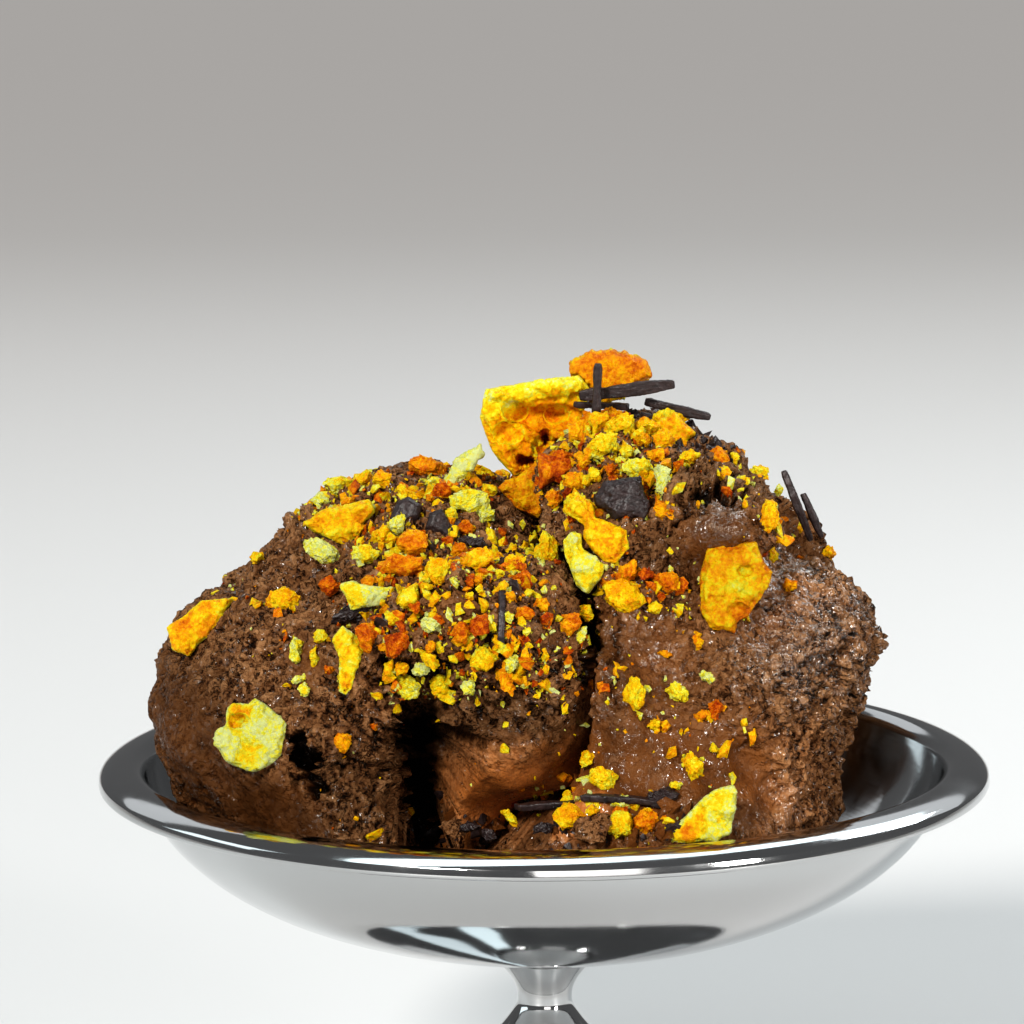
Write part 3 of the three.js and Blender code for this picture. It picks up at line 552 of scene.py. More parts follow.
def nudged(tree, place, length, detail, far):
    """Places moved by up to `far` by a noise, so that patterns on them don't run true."""
    inputs = {"Vector": place, "Scale": 1 / length, "Detail": detail}
    made = put(tree, "ShaderNodeTexNoise", inputs).outputs["Color"]
    return vectors(tree, "ADD", place, vectors(tree, "SCALE", made, far))


def mark(tree, name):
    """A number kept on the mesh under a name, read in a geometry tree or in a material."""
    if tree.type == "GEOMETRY":
        return put(tree, "GeometryNodeInputNamedAttribute", {"Name": name}, data_type="FLOAT").outputs[0]
    return put(tree, "ShaderNodeAttribute", attribute_name=name).outputs["Fac"]


def moved(tree, geometry, shift):
    return put(tree, "GeometryNodeSetPosition", {"Geometry": geometry, "Offset": shift}).outputs[0]


def marked(tree, geometry, name, value, domain="POINT"):
    """The geometry with a number kept on it under a name."""
    inputs = {"Geometry": geometry, "Name": name, "Value": value}
    made = put(tree, "GeometryNodeStoreNamedAttribute", inputs, data_type="FLOAT", domain=domain)
    return made.outputs[0]


def pushed_out(tree, geometry, height):
    """The skin moved along its normals, which keeps how far it moved, in millimetres, as its relief."""
    shift = vectors(tree, "SCALE", put(tree, "GeometryNodeInputNormal").outputs[0], height)
    return marked(tree, moved(tree, geometry, shift), "relief", maths(tree, "DIVIDE", height, MM))


def close_tree(tree, geometry, tree_in, tree_out, smooth=True):
    """The end of a tree: its shading, its material and its copies made real."""
    shaded = put(tree, "GeometryNodeSetShadeSmooth", {"Geometry": geometry, "Shade Smooth": smooth})
    inputs = {"Geometry": shaded.outputs[0], "Material": tree_in["Finish"]}
    finished = put(tree, "GeometryNodeSetMaterial", inputs)
    realized = put(tree, "GeometryNodeRealizeInstances", {"Geometry": finished.outputs[0]})
    tree.links.new(realized.outputs[0], tree_out["Geometry"])


def coloured(tree, value, stops):
    """A colour for each value, blended between stops of (value, colour)."""
    ramp = put(tree, "ShaderNodeValToRGB", {"Fac": value})
    elements = ramp.color_ramp.elements
    for element, (position, colour) in zip(elements, (stops[0], stops[-1])):
        element.position = position
        element.color = (*colour, 1)
    for position, colour in stops[1:-1]:
        elements.new(position).color = (*colour, 1)
    return ramp.outputs[0]


def spoonful_skin(name):
    """A spoonful's skin before it is torn: a cube's grid slid out along straight lines from its heart."""
    steps = np.linspace(-1, 1, SKIN_GRID + 1)
    grid = {}
    corners, faces = [], []

    def corner(*key):
        if key not in grid:
            grid[key] = len(corners)
            corners.append([steps[i] for i in key])
        return grid[key]

    last = SKIN_GRID
    for a in range(last):
        for b in range(last):
            square = ((a, b), (a + 1, b), (a + 1, b + 1), (a, b + 1))
            for side in ((0, 1, 2), (2, 0, 1), (1, 2, 0)):
                for level, ring in ((last, square), (0, square[::-1])):
                    faces.append([corner(*[(u, v, level)[i] for i in side]) for u, v in ring])
    way = np.tan(np.array(corners) * math.pi / 4)
    way /= np.linalg.norm(way, axis=1)[:, None]
    way += np.array(SPOONFULS[name]["leans"])
    way /= np.linalg.norm(way, axis=1)[:, None]
    heart = np.array(SPOONFULS[name]["heart"], float)
    reach = np.full(len(way), FIRST_REACH)

    def inside(which, distance):
        at = heart + way[which] * distance[:, None]
        return outside_cut(name, at[:, 0], at[:, 1], at[:, 2]) < 0

    growing = np.arange(len(way))
    while len(growing):
        growing = growing[inside(growing, reach[growing])]
        reach[growing] += STRIDE
    step = STRIDE / 2
    everyone = np.arange(len(way))
    while step > NEAR_ENOUGH:
        reach += np.where(inside(everyone, reach), step, -step)
        step /= 2
    if name == "mousse_back":
        # lines that graze its neighbours end unevenly, so each is brought near the ones beside it
        start = np.array(faces).ravel()
        end = np.roll(np.array(faces), -1, axis=1).ravel()
        beside = np.bincount(start) + np.bincount(end)
        for _ in range(EVENING_ROUNDS):
            mean = (np.bincount(start, reach[end]) + np.bincount(end, reach[start])) / beside
            reach = np.clip(reach, mean - UNEVEN_MOST, mean + UNEVEN_MOST)
    return heart + way * reach[:, None], faces


def seen_from_front(at):
    """Where points are seen by the maker, as (across, up) in millimetres on the plane y = 0."""
    share = -MAKER_EYE[1] / (at[:, 1] - MAKER_EYE[1])
    across, _, up = (MAKER_EYE + (at - MAKER_EYE) * share[:, None]).T
    return across, up


# Patches of the front, as the maker sees them: across, up, half width, half height, tilt, how much.
# Where the back of the spoon left it smooth, where it is torn deepest, and where it is wet.
SMOOTH_PATCHES = [
    (-43, 56, 5, 11, 32, 0.7),
    (-33, 48.5, 8, 4.5, -20, 0.8),
    (-29.5, 68, 2.2, 3.0, 0, 0.7),
    (10, 53, 23, 8.5, 0, 1.0),
    (-4, 50.5, 9, 5.5, -6, 1.0),
    (-9.6, 55.4, 2.2, 3.2, 0, 0.8),
    (11, 66, 8, 10, -20, 0.75),
    (21.3, 83.6, 4.4, 5.4, -15, 1.0),
    (-11, 74, 3.5, 2.2, 10, 0.5),
    (29, 73, 5.5, 6, 25, 0.5),
    (30, 50.5, 2.2, 5, 0, 0.8),
    (33.5, 88, 4, 5, 0, 0.9),
    (-4.5, 56.5, 6.5, 3.2, 0, 1.0),
]
RAGGED_PATCHES = [
    (-23, 54, 5, 9, 0, 0.6),
    (-4, 62, 7, 6, 20, 0.7),
    (36, 64, 6, 14, -8, 0.7),
    (19, 89.5, 6, 3, -10, 0.7),
    (-21, 63, 5, 4, 0, 0.4),
    (-19, 55, 3, 9, 0, 1.1),
]
WET_PATCHES = [
    (31.5, 71.5, 7.5, 8.5, 20, 1.0),
    (30, 50.5, 1.8, 4.5, 0, 1.0),
    (21.4, 84.5, 3.4, 3, -20, 1.0),
    (-10, 54.5, 2.4, 3.4, 0, 0.8),
    (11, 68, 6, 8, 0, 0.4),
    (8, 52, 20, 7, 0, 0.25),
]
# Painted shade: where the colour is darkened to stand for shade, up to black in the hollow under the torn
# tongue
PAINTED_SHADE_PATCHES = [
    (-15.4, 58.6, 2.7, 3.6, 0, 1.0),
    (-14.8, 53.4, 1.7, 3.6, 0, 0.9),
    (-14.2, 49.0, 1.6, 2.4, 0, 0.7),
    (-43, 58, 6, 11, 30, 0.40),
    (-34, 48, 9, 4.5, -20, 0.50),
    (-24, 50.5, 4.5, 6.5, 0, 0.38),
    (-6, 68, 9, 5, 0, 0.28),
    (-5, 60, 8, 4.4, 8, 0.50),
    (20.5, 90, 6, 2.6, -8, 0.35),
    (15.5, 79.5, 4.5, 5, 0, 0.35),
    (21.5, 84.5, 4, 3, 0, 0.25),
    (8.5, 64, 1.6, 6, 0, 0.4),
    (-29.5, 54.4, 0.8, 2.6, -24, 0.9),
]
# Painted light: where the colour is made paler to stand for more light falling there
PAINTED_LIGHT_PATCHES = [
    (-4.4, 51.6, 7.4, 4.8, -8, 1.2),
    (-2, 48.5, 8, 3, 0, 2.0),
    (30, 53, 5, 5, 0, 0.25),
    (32, 78, 5, 4, 0, 0.2),
]
# Gashes and ridges: their line as the maker sees it, half width and depth (a ridge's is negative)
SCORES = [
    # the cleft between the two front spoonfuls
    ([(6.8, 82.5), (5.8, 75.5), (5.8, 70.5), (5.4, 65)], 0.9, 2.2),
    # the notch beside the torn lump
    ([(-30.4, 57.4), (-29.4, 54.5), (-28.2, 51.2)], 1.2, 3.0),
    # down from the hollow under the torn tongue
    ([(-15.6, 54), (-15.2, 50), (-14.6, 46.5)], 1.3, 3.0),
    ([(-20, 66.5), (-16, 65.5), (-12, 66.4)], 1.2, 1.6),
    # below the shiny patch and its torn lip
    ([(15.4, 86), (16.4, 89), (19.5, 91.2), (23, 90.6), (25.8, 88.8)], 1.5, -1.5),
    ([(16.6, 85.2), (18.2, 87.8), (21, 88.8), (24, 87.6)], 0.8, 1.4),
    # spoon marks that run down between the two
    ([(9.5, 74), (9.2, 69), (8.6, 62)], 0.5, 0.7),
    ([(-8.6, 80), (-7.6, 74), (-6.4, 69)], 0.6, 0.9),
    ([(-27.6, 88.2), (-31, 85.8)], 1.3, -1.2),
    # a wet fold at the foot of the right spoonful
    ([(29.2, 54.6), (30.3, 51), (29.4, 47.6)], 1.3, -1.0),
]
FADE = 10  # how far behind, in millimetres, the front's patches fade out
BACK_TORN_FROM = 66  # behind, the spoonfuls are smooth below this height
# Painted shade: the rear spoonful's colour is darkened for the shade the other two cast on it
BACK_PAINTED_SHADE = 0.75  # the rear spoonful lies in the shade of the other two
# Behind this place the steep sides between two lumps are left less torn, because their faces are long
BACK_STARTS = -14
BACK_FADE = 8
LEAST_STEEP = 0.1


def patched(patches, across, up):
    """How much of any of the patches covers each seen place, from 0 to 1."""
    cover = np.zeros(len(across))
    for centre_across, centre_up, wide, high, tilt, amount in patches:
        turn = math.radians(tilt)
        u = ((across - centre_across) * math.cos(turn) + (up - centre_up) * math.sin(turn)) / wide
        v = ((up - centre_up) * math.cos(turn) - (across - centre_across) * math.sin(turn)) / high
        cover = np.maximum(cover, amount * np.clip(1.6 - np.sqrt(u * u + v * v), 0, 1))
    return cover


def line_distance(across, up, start, end):
    """How far each seen place lies from a straight stretch of a line."""
    run = (end[0] - start[0], end[1] - start[1])
    share = ((across - start[0]) * run[0] + (up - start[1]) * run[1]) / (run[0] ** 2 + run[1] ** 2)
    share = np.clip(share, 0, 1)
    return np.hypot(across - start[0] - share * run[0], up - start[1] - share * run[1])


def handled(name, at):
    """How torn, how deep scored (mm) and how wet each point is, and how much painted shade and painted
    light it gets.
    """
    across, up = seen_from_front(at)
    x, y, z = at.T
    across = across + 0.45 * np.sin(z * 2.4 + x) + 0.30 * np.sin(z * 5.3 - x * 2.1)
    up = up + 0.45 * np.sin(x * 2.2 - z) + 0.30 * np.sin(x * 4.7 + z * 2.6)
    front_ends = 16 if name == "mousse_back" else 4
    front = np.clip((front_ends - y) / FADE, 0, 1)
    behind = np.clip((BACK_TORN_FROM - z) / 14, 0, 1)
    smooth = patched(SMOOTH_PATCHES, across, up) * front + behind * 0.9 * (1 - front)
    torn = 1 - smooth + patched(RAGGED_PATCHES, across, up) * front
    scored = np.zeros(len(at))
    wander = 0.35 * np.sin(z * 2.1) + 0.3 * np.sin(x * 2.7 + z)
    for line, half, depth in SCORES:
        away = np.min([line_distance(across, up, a, b) for a, b in zip(line, line[1:])], axis=0)
        share = np.clip(1 - ((away + wander * half * 0.6) / half) ** 2, 0, 1) ** 0.7
        scored = np.where(abs(depth) * share > abs(scored), depth * share, scored)
    wet = patched(WET_PATCHES, across, up) * front
    dark = patched(PAINTED_SHADE_PATCHES, across, up) * front
    # the rear spoonful's front gets painted shade all over
    if name == "mousse_back":
        dark = np.maximum(dark, BACK_PAINTED_SHADE * front)
    pale = patched(PAINTED_LIGHT_PATCHES, across, up) * front
    return torn, scored * front, wet, dark, pale


# Tearing: broad crags, crumbly lumps of two sizes and open gas pits in the torn parts, and shallow
# streaks that run down the smooth ones
tearing, tree_in, tree_out = new_tree(
    "tearing",
    {
        "Crag Length": 3.2 * MM,
        "Crag Depth": 1.7 * MM,
        "Lump Length": 2.4 * MM,
        "Lump Depth": 0.36 * MM,
        "Tear Length": 3.6 * MM,
        "Tear Depth": 1.2 * MM,
        "Pit Length": 2.0 * MM,
        "Pit Depth": 1.1 * MM,
        "Streak Depth": 0.3 * MM,
        "Seed": 3.0,
    },
)
tree = tearing
place = places(tree)
torn, scored, pale = mark(tree, "torn"), mark(tree, "scored"), mark(tree, "pale")
inputs = {"Vector": place, "W": tree_in["Seed"], "Scale": 0.7 / MM, "Detail": 2.0}
shove = put(tree, "ShaderNodeTexNoise", inputs, noise_dimensions="4D").outputs["Color"]
shove = vectors(tree, "SUBTRACT", shove, MIDDLE)
bent = vectors(tree, "ADD", place, vectors(tree, "SCALE", shove, 1.5 * MM))
crag = swelling(tree, noise(tree, bent, tree_in["Crag Length"], 4.0, 0.6, seed=tree_in["Seed"]))


def crumbly(extra):
    """Rounded lumps from -0.5 to 0.5 with sharp cracks between them, `extra` times as fine."""
    away = split_from(tree, bent, tree_in["Lump Length"], 1.5, 0.5, extra)
    return ramped(tree, away, 0.0, 0.16, -0.5, 0.5, smooth=False)


FINER = 2.1  # how many times finer the second size of lumps and pits is
lumps = maths(tree, "MULTIPLY_ADD", crumbly(FINER), 0.55, crumbly(1.0))


def open_pits(extra, wide, low):
    """Open gas pits, 1 at their bottom, in patches where a noise is above a level."""
    away = cells(tree, bent, tree_in["Pit Length"], extra)["Distance"]
    some = ramped(tree, noise(tree, place, 3.2 * MM / extra, 2.0), low, low + 0.1)
    return maths(tree, "MULTIPLY", ramped(tree, away, wide, wide * 0.5), some)


fine_pits = maths(tree, "MULTIPLY", open_pits(FINER, 0.46, 0.47), 0.5)
pits = maths(tree, "MAXIMUM", open_pits(1.0, 0.42, 0.50), fine_pits)
split = split_from(tree, bent, tree_in["Tear Length"], 2.0, 0.55)
tears = maths(tree, "MULTIPLY", ramped(tree, split, 0.050, 0.0), ramped(tree, crag, -0.10, 0.05))
height = maths(tree, "MULTIPLY", crag, tree_in["Crag Depth"])
height = maths(tree, "SUBTRACT", height, maths(tree, "MULTIPLY", tears, tree_in["Tear Depth"]))
height = maths(tree, "MULTIPLY_ADD", lumps, tree_in["Lump Depth"], height)
height = maths(tree, "SUBTRACT", height, maths(tree, "MULTIPLY", pits, tree_in["Pit Depth"]))
height = maths(tree, "MULTIPLY", height, torn)
down = vectors(tree, "MULTIPLY", bent, (1, 1, 0.3))
streaks = swelling(tree, noise(tree, down, 1.8 * MM))
# the streaks are made weaker where the painted light is marked
streaks = maths(tree, "MULTIPLY", streaks, ramped(tree, pale, 0.0, 0.8, 1.0, 0.25))
height = maths(tree, "MULTIPLY_ADD", streaks, tree_in["Streak Depth"], height)
height = maths(tree, "SUBTRACT", height, maths(tree, "MULTIPLY", scored, MM))
close_tree(tree, pushed_out(tree, tree_in["Geometry"], height), tree_in, tree_out)


# Mousse: painted shade in its pits, pores and cracks and painted light on its crests, warmer and glossier
# where it is smooth
mousse, tree, shader = new_material("mousse")
place = places(tree)
torn = ramped(tree, mark(tree, "torn"), 0.0, 1.0, smooth=False)
wet, relief = mark(tree, "wet"), mark(tree, "relief")
kinked = nudged(tree, place, 0.8 * MM, 2.0, 0.6 * MM)


def pores(length, wide):
    """Gas pores about `length` metres apart: 1 inside them, 0 on the skin between."""
    return ramped(tree, cells(tree, kinked, length)["Distance"], wide, wide * 0.45)


def cracked(length):
    """Rounded grains, 0 in the cracks between them and 1 on their tops."""
    return ramped(tree, split_from(tree, kinked, length, 1.5, 0.55), 0.0, 0.10, smooth=False)


patches = noise(tree, place, 2.6 * MM, 3.0, 0.6)
foamy = ramped(tree, patches, 0.46, 0.62)
holes = maths(tree, "MULTIPLY", pores(0.6 * MM, 0.42), foamy)
tear = ramped(tree, split_from(tree, kinked, 2.1 * MM, 3.0, 0.62), 0.030, 0.006)
tear = maths(tree, "MULTIPLY", tear, ramped(tree, noise(tree, place, 1.9 * MM, 2.0), 0.46, 0.56))
holes = maths(tree, "MAXIMUM", holes, tear)
grains = maths(tree, "MULTIPLY_ADD", cracked(0.7 * MM), 0.5, cracked(1.6 * MM))
# the pores and cracks darken the colour as painted shade, as well as bending its normal
skin = maths(tree, "SUBTRACT", maths(tree, "MULTIPLY", grains, 0.5), maths(tree, "MULTIPLY", holes, 0.85))
# how high each place stands, from its pits at 0 to its crests at 1; the colour ramps below paint shade at
# the pits and light at the crests
torn_height = maths(tree, "MULTIPLY_ADD", skin, 0.50, maths(tree, "MULTIPLY", relief, 0.42))
torn_height = maths(tree, "ADD", torn_height, 0.52, clamp=True)
TORN_TONES = [
    (0.05, (0.004, 0.0012, 0.0005)),
    (0.34, (0.045, 0.0155, 0.0056)),
    (0.62, (0.152, 0.0660, 0.0250)),
    (1.0, (0.270, 0.138, 0.062)),
]
SMOOTH_TONES = [
    (0.0, (0.010, 0.0022, 0.0006)),
    (0.48, (0.098, 0.0325, 0.0075)),
    (1.0, (0.190, 0.068, 0.0160)),
]
PAINTED_SHADE_TONE = (0.0012, 0.0003, 0.0001, 1)
# on the smooth skin the colour follows a noise, its own uneven tone, and a little of the relief as painted
# shade and light
smooth_height = maths(tree, "MULTIPLY_ADD", skin, 0.10, maths(tree, "MULTIPLY", relief, 0.30))
smooth_height = maths(tree, "ADD", smooth_height, patches, clamp=True)


def mixed(share, first, second):
    return put(tree, "ShaderNodeMix", {"Factor": share, 6: first, 7: second}, data_type="RGBA").outputs[2]


smooth_colour = coloured(tree, smooth_height, SMOOTH_TONES)
colour = mixed(torn, smooth_colour, coloured(tree, torn_height, TORN_TONES))
# painted shade: the dark mark blends the colour towards near black
deep = mark(tree, "dark")
# painted light: the pale mark brightens the colour
painted_light_gain = maths(tree, "MULTIPLY_ADD", mark(tree, "pale"), 1.9, 1.0)
colour = vectors(tree, "SCALE", mixed(deep, colour, PAINTED_SHADE_TONE), painted_light_gain)
patchy = ramped(tree, noise(tree, place, 2.4 * MM, 3.0), 0.35, 0.65, 0.26, 0.44)
patchy = maths(tree, "MULTIPLY_ADD", wet, -0.12, patchy)
lighted = ramped(tree, deep, 0.0, 1.0, 1.0, 0.0)
sheen = maths(tree, "MULTIPLY", maths(tree, "MULTIPLY_ADD", wet, 0.25, 0.15), lighted)
fine = noise(tree, place, 0.35 * MM, 3.0, 0.6)
bumps = maths(tree, "MULTIPLY", skin, ramped(tree, torn, 0.0, 1.0, 0.14, 1.0))
bumps = maths(tree, "MULTIPLY_ADD", fine, 0.30, bumps)
# a film of melted mousse shines in beads: a few everywhere, many on the wet parts
beads = noise(tree, place, 1.0 * MM, 3.0, 0.65)
beads = maths(tree, "ADD", beads, maths(tree, "MULTIPLY", wet, 0.17))
beads = ramped(tree, beads, 0.56, 0.61)
shader.inputs["Specular IOR Level"].default_value = 0.2
mousse_looks = {
    "Base Color": colour,
    "Roughness": maths(tree, "MULTIPLY_ADD", torn, 0.10, patchy),
    "Specular IOR Level": sheen,
    "Specular Tint": (1.0, 0.78, 0.54, 1),
    "Normal": bumped(tree, bumps, 0.36 * MM),
    "Coat Weight": maths(tree, "MULTIPLY", beads, lighted),
    "Coat Roughness": 0.13,
    "Coat IOR": 1.6,
    "Coat Normal": bumped(tree, noise(tree, kinked, 1.2 * MM, 2.0), 0.8 * MM),
}
fill(tree, shader, mousse_looks)


def note(mesh, name, values):
    """Keeps a number for each corner point of a mesh under a name."""
    kept = mesh.attributes.get(name) or mesh.attributes.new(name, "FLOAT", "POINT")
    kept.data.foreach_set("value", np.asarray(values, np.float32))


def rows_of(items, label):
    """Three numbers of each of a mesh's items, such as its corner points' places."""
    rows = np.zeros(len(items) * 3, np.float32)
    items.foreach_get(label, rows)
    return rows.reshape(-1, 3).astype(float)


for name in SPOONFULS:
    at, faces = spoonful_skin(name)
    spoonful = new_piece(name + "_torn", at * MM, faces, mousse)
    torn, *rest = handled(name, at)
    facing = rows_of(spoonful.data.vertex_normals, "vector")
    outwards = at - np.array(SPOONFULS[name]["heart"])
    outwards /= np.linalg.norm(outwards, axis=1)[:, None]
    steep = 1 - np.clip(2.4 * (facing * outwards).sum(axis=1), LEAST_STEEP, 1)
    torn = torn * (1 - steep * np.clip((at[:, 1] - BACK_STARTS) / BACK_FADE, 0, 1))
    for label, values in zip(("torn", "scored", "wet", "dark", "pale"), (torn, *rest)):
        note(spoonful.data, label, values)
    applied(spoonful, tearing, {"Finish": mousse, "Seed": 3.0 + len(name)})
    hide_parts(name)
    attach(spoonful, "root")


# ---- The honeycomb toffee ----------------------------------------------------------------------
# Boiled sugar foamed with soda, set hard and smashed. The broken faces cut through gas bubbles and
# run from pale cream, where the foam is fine, through lemon and gold to burnt orange.

TOFFEE_GRAIN = 0.21 * MM
WELD_REACH = 0.01 * MM
MAKER_UP = Vector((0, 0.21, 0.978)).normalized()


def copy_of(node, name, voxel, material):
    """A finely and evenly divided copy of a solid."""
    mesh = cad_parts[node].data.copy()
    mesh.materials.clear()
    mesh.materials.append(material)
    piece = linked(name, mesh)
    weld = piece.modifiers.new("weld", "WELD")
    weld.merge_threshold = WELD_REACH
    remesh = piece.modifiers.new("remesh", "REMESH")
    remesh.mode = "VOXEL"
    remesh.voxel_size = voxel
    made_plain(piece)
    return piece


def write_points(mesh, at):
    mesh.vertices.foreach_set("co", at.astype(np.float32).ravel())
    mesh.update()


def slab_axes(at):
    """Middle and axes of a flat piece: sideways, upwards to the maker, and out of its broad face."""
    middle = (at.max(0) + at.min(0)) / 2
    spread = np.linalg.eigh(np.cov((at - at.mean(0)).T))[1]
    outwards = Vector(spread[:, 0])
    if outwards.y > 0:
        outwards.negate()
    upwards = (MAKER_UP - outwards * MAKER_UP.dot(outwards)).normalized()
    sideways = upwards.cross(outwards)
    axes = np.array([sideways, upwards, outwards])
    local = (at - middle) @ axes.T
    middle = middle + ((local.max(0) + local.min(0)) / 2) @ axes
    return middle, axes


# Breaking: uneven faces that step down in ledges, bubble cups cut open by the break, fine grain
breaking, tree_in, tree_out = new_tree(
    "breaking",
    {
        "Lump Length": 2.1 * MM,
        "Lump Depth": 0.45 * MM,
        "Ledge Length": 2.6 * MM,
        "Ledge Depth": 0.95 * MM,
        "Bubble Length": 1.15 * MM,
        "Bubble Depth": 0.34 * MM,
        "Block Length": 1.3 * MM,
        "Block Depth": 0.34 * MM,
        "Grain Depth": 0.20 * MM,
    },
)
tree = breaking
place = places(tree)


def cups(extra, reach):
    """Round cups, 1 deep in their middle, cut where a cell's centre lies near the skin."""
    near = maths(tree, "DIVIDE", cells(tree, place, tree_in["Bubble Length"], extra)["Distance"], reach)
    left = maths(tree, "SUBTRACT", 1.0, maths(tree, "MULTIPLY", near, near), clamp=True)
    return maths(tree, "SQRT", left)


LEDGES = 4.0  # steps from the lowest face to the highest
stair = swelling(tree, noise(tree, place, tree_in["Ledge Length"], 2.0, 0.6))
stair = maths(tree, "MULTIPLY", stair, LEDGES)
riser = ramped(tree, maths(tree, "FRACT", stair), 0.32, 0.62)
stair = maths(tree, "DIVIDE", maths(tree, "ADD", maths(tree, "FLOOR", stair), riser), LEDGES)
some = ramped(tree, noise(tree, place, 2.4 * MM, 2.0), 0.44, 0.60)
cupped = maths(tree, "MULTIPLY_ADD", cups(2.3, 0.5), 0.4, cups(1.0, 0.46))
cupped = maths(tree, "MULTIPLY", cupped, some)
height = swelling(tree, noise(tree, place, tree_in["Lump Length"], 3.0, 0.6))
height = maths(tree, "MULTIPLY", height, tree_in["Lump Depth"])
height = maths(tree, "MULTIPLY_ADD", stair, tree_in["Ledge Depth"], height)
height = maths(tree, "SUBTRACT", height, maths(tree, "MULTIPLY", cupped, tree_in["Bubble Depth"]))
uneven = nudged(tree, place, 1.2 * MM, 1.0, 0.9 * MM)
blocks = cells(tree, uneven, tree_in["Block Length"])["Color"]
blocks = maths(tree, "SUBTRACT", blocks, 0.5)
height = maths(tree, "MULTIPLY_ADD", blocks, tree_in["Block Depth"], height)
grains = maths(tree, "SUBTRACT", noise(tree, place, 0.6 * MM, 3.0), 0.5)
height = maths(tree, "MULTIPLY", height, ramped(tree, mark(tree, "rim"), 0.0, 1.0, 1.0, 0.3))
height = maths(tree, "MULTIPLY_ADD", grains, tree_in["Grain Depth"], height)
close_tree(tree, pushed_out(tree, tree_in["Geometry"], height), tree_in, tree_out)


# Toffee: its tone runs from 0, pale cream, to 1, burnt orange, and wanders a little everywhere
toffee, tree, shader = new_material("honeycomb_toffee")
place = places(tree)
tone = mark(tree, "tone")
drift = ramped(tree, noise(tree, place, 1.7 * MM, 4.0, 0.65), 0.36, 0.64, -0.5, 0.5)
wander = ramped(tree, tone, 0.0, 0.35, 0.10, 0.22)
tone = maths(tree, "MULTIPLY_ADD", drift, wander, tone)
flecks = ramped(tree, noise(tree, place, 0.5 * MM, 3.0, 0.7), 0.38, 0.62, -0.5, 0.5)
tone = maths(tree, "MULTIPLY_ADD", flecks, 0.20, tone)
# its crests are made paler and its hollows deeper and darker in tone: partly the toffee's own colour,
# partly painted light and shade
tone = maths(tree, "MULTIPLY_ADD", mark(tree, "relief"), -0.30, tone)
TOFFEE_TONES = [
    (0.0, (0.53, 0.57, 0.23)),
    (0.16, (0.62, 0.585, 0.03)),
    (0.32, (0.69, 0.47, 0.002)),
    (0.50, (0.68, 0.30, 0.001)),
    (0.72, (0.56, 0.145, 0.001)),
    (0.88, (0.36, 0.052, 0.001)),
    (1.0, (0.22, 0.018, 0.001)),
]
# the painted shade and painted light of each piece scale its colour
kept = maths(tree, "SUBTRACT", 1.0, mark(tree, "painted_piece_shade"))
toffee_looks = {
    "Base Color": vectors(tree, "SCALE", coloured(tree, tone, TOFFEE_TONES), kept),
    "Roughness": ramped(tree, noise(tree, place, 0.9 * MM, 2.0), 0.35, 0.65, 0.20, 0.55),
    "Normal": bumped(tree, noise(tree, place, 0.35 * MM, 4.0, 0.65), 0.34 * MM),
    "Specular IOR Level": 0.26,
    "Specular Tint": (1.0, 0.82, 0.40, 1),
    "Subsurface Weight": 0.14,
    "Subsurface Radius": (1.0, 0.55, 0.08),
    "Subsurface Scale": 0.8 * MM,
}
fill(tree, shader, toffee_looks)

# Each broken piece: its record slot, the tone of its face and of its broken rim, and spots of another
# tone on its face as (sideways, up, reach, tone), in millimetres from its middle
TOFFEE_PIECES = {
    "honeycomb_peak": (
        "toffee_gold",
        0.52,
        0.17,
        [
            (-5, 3, 3.0, 0.26),
            (-1, 5.6, 2.6, 0.14),
            (4.4, 5.4, 2.6, 0.18),
            (1, 1, 2.2, 0.60),
            (0, -3.5, 3, 0.56),
        ],
    ),
    "honeycomb_cap": ("toffee_gold", 0.62, 0.66, [(-4, 0.6, 1.8, 0.36), (0.4, -1.8, 2.6, 0.04)]),
    "honeycomb_brow": ("toffee_amber", 0.54, 0.66, [(2.6, -1.6, 1.6, 0.48), (1.2, 2.2, 1.2, 0.8)]),
    "honeycomb_amber": ("toffee_amber", 0.80, 0.88, [(-1, 0.6, 1.0, 0.62)]),
    "honeycomb_gold": ("toffee_gold", 0.44, 0.30, [(-2.2, 2.4, 1.6, 0.30), (2.4, -2.4, 1.4, 0.5)]),
    "honeycomb_bright": ("toffee_gold", 0.22, 0.12, [(-1.4, 2.4, 1.2, 0.06)]),
    "honeycomb_right": (
        "toffee_gold",
        0.46,
        0.60,
        [(0.4, 0.6, 2.2, 0.30), (-3.6, 1, 1.2, 0.24), (0, 5, 1.5, 0.66), (0.8, -4.4, 1.5, 0.86)],
    ),
    "honeycomb_strip": ("toffee_gold", 0.44, 0.32, [(3, -2, 1.6, 0.62), (-2.6, 0.6, 1.6, 0.34)]),
    "honeycomb_lean": ("toffee_pale", 0.05, 0.0, [(1.6, 1.6, 1.0, 0.16)]),
    "honeycomb_wedge": ("toffee_gold", 0.36, 0.24, [(2.6, 0.6, 1.6, 0.56), (-2.8, 0.4, 1.4, 0.34)]),
    "honeycomb_plate": ("toffee_pale", 0.10, 0.02, [(-2, 0.4, 1.3, 0.28), (1, -0.3, 1, 0.0)]),
    "honeycomb_tall": ("toffee_gold", 0.30, 0.10, [(1.0, 1.4, 1.0, 0.42), (0, -2.8, 1.2, 0.34)]),
    "honeycomb_far": ("toffee_gold", 0.48, 0.10, [(2.4, 1.6, 1.0, 0.28), (-1.6, -0.6, 1.4, 0.60)]),
    "honeycomb_low": (
        "toffee_pale",
        0.04,
        0.0,
        [(-1.6, 2.8, 1.3, 0.58), (-2.2, 1.6, 1.0, 0.40), (0.2, -3.2, 1.8, 0.20), (1.4, 0.4, 1.4, 0.0)],
    ),
    "honeycomb_foot": ("toffee_pale", 0.12, 0.04, [(-1.4, -2.2, 1.2, 0.70), (-0.4, -0.4, 0.9, 0.5)]),
}
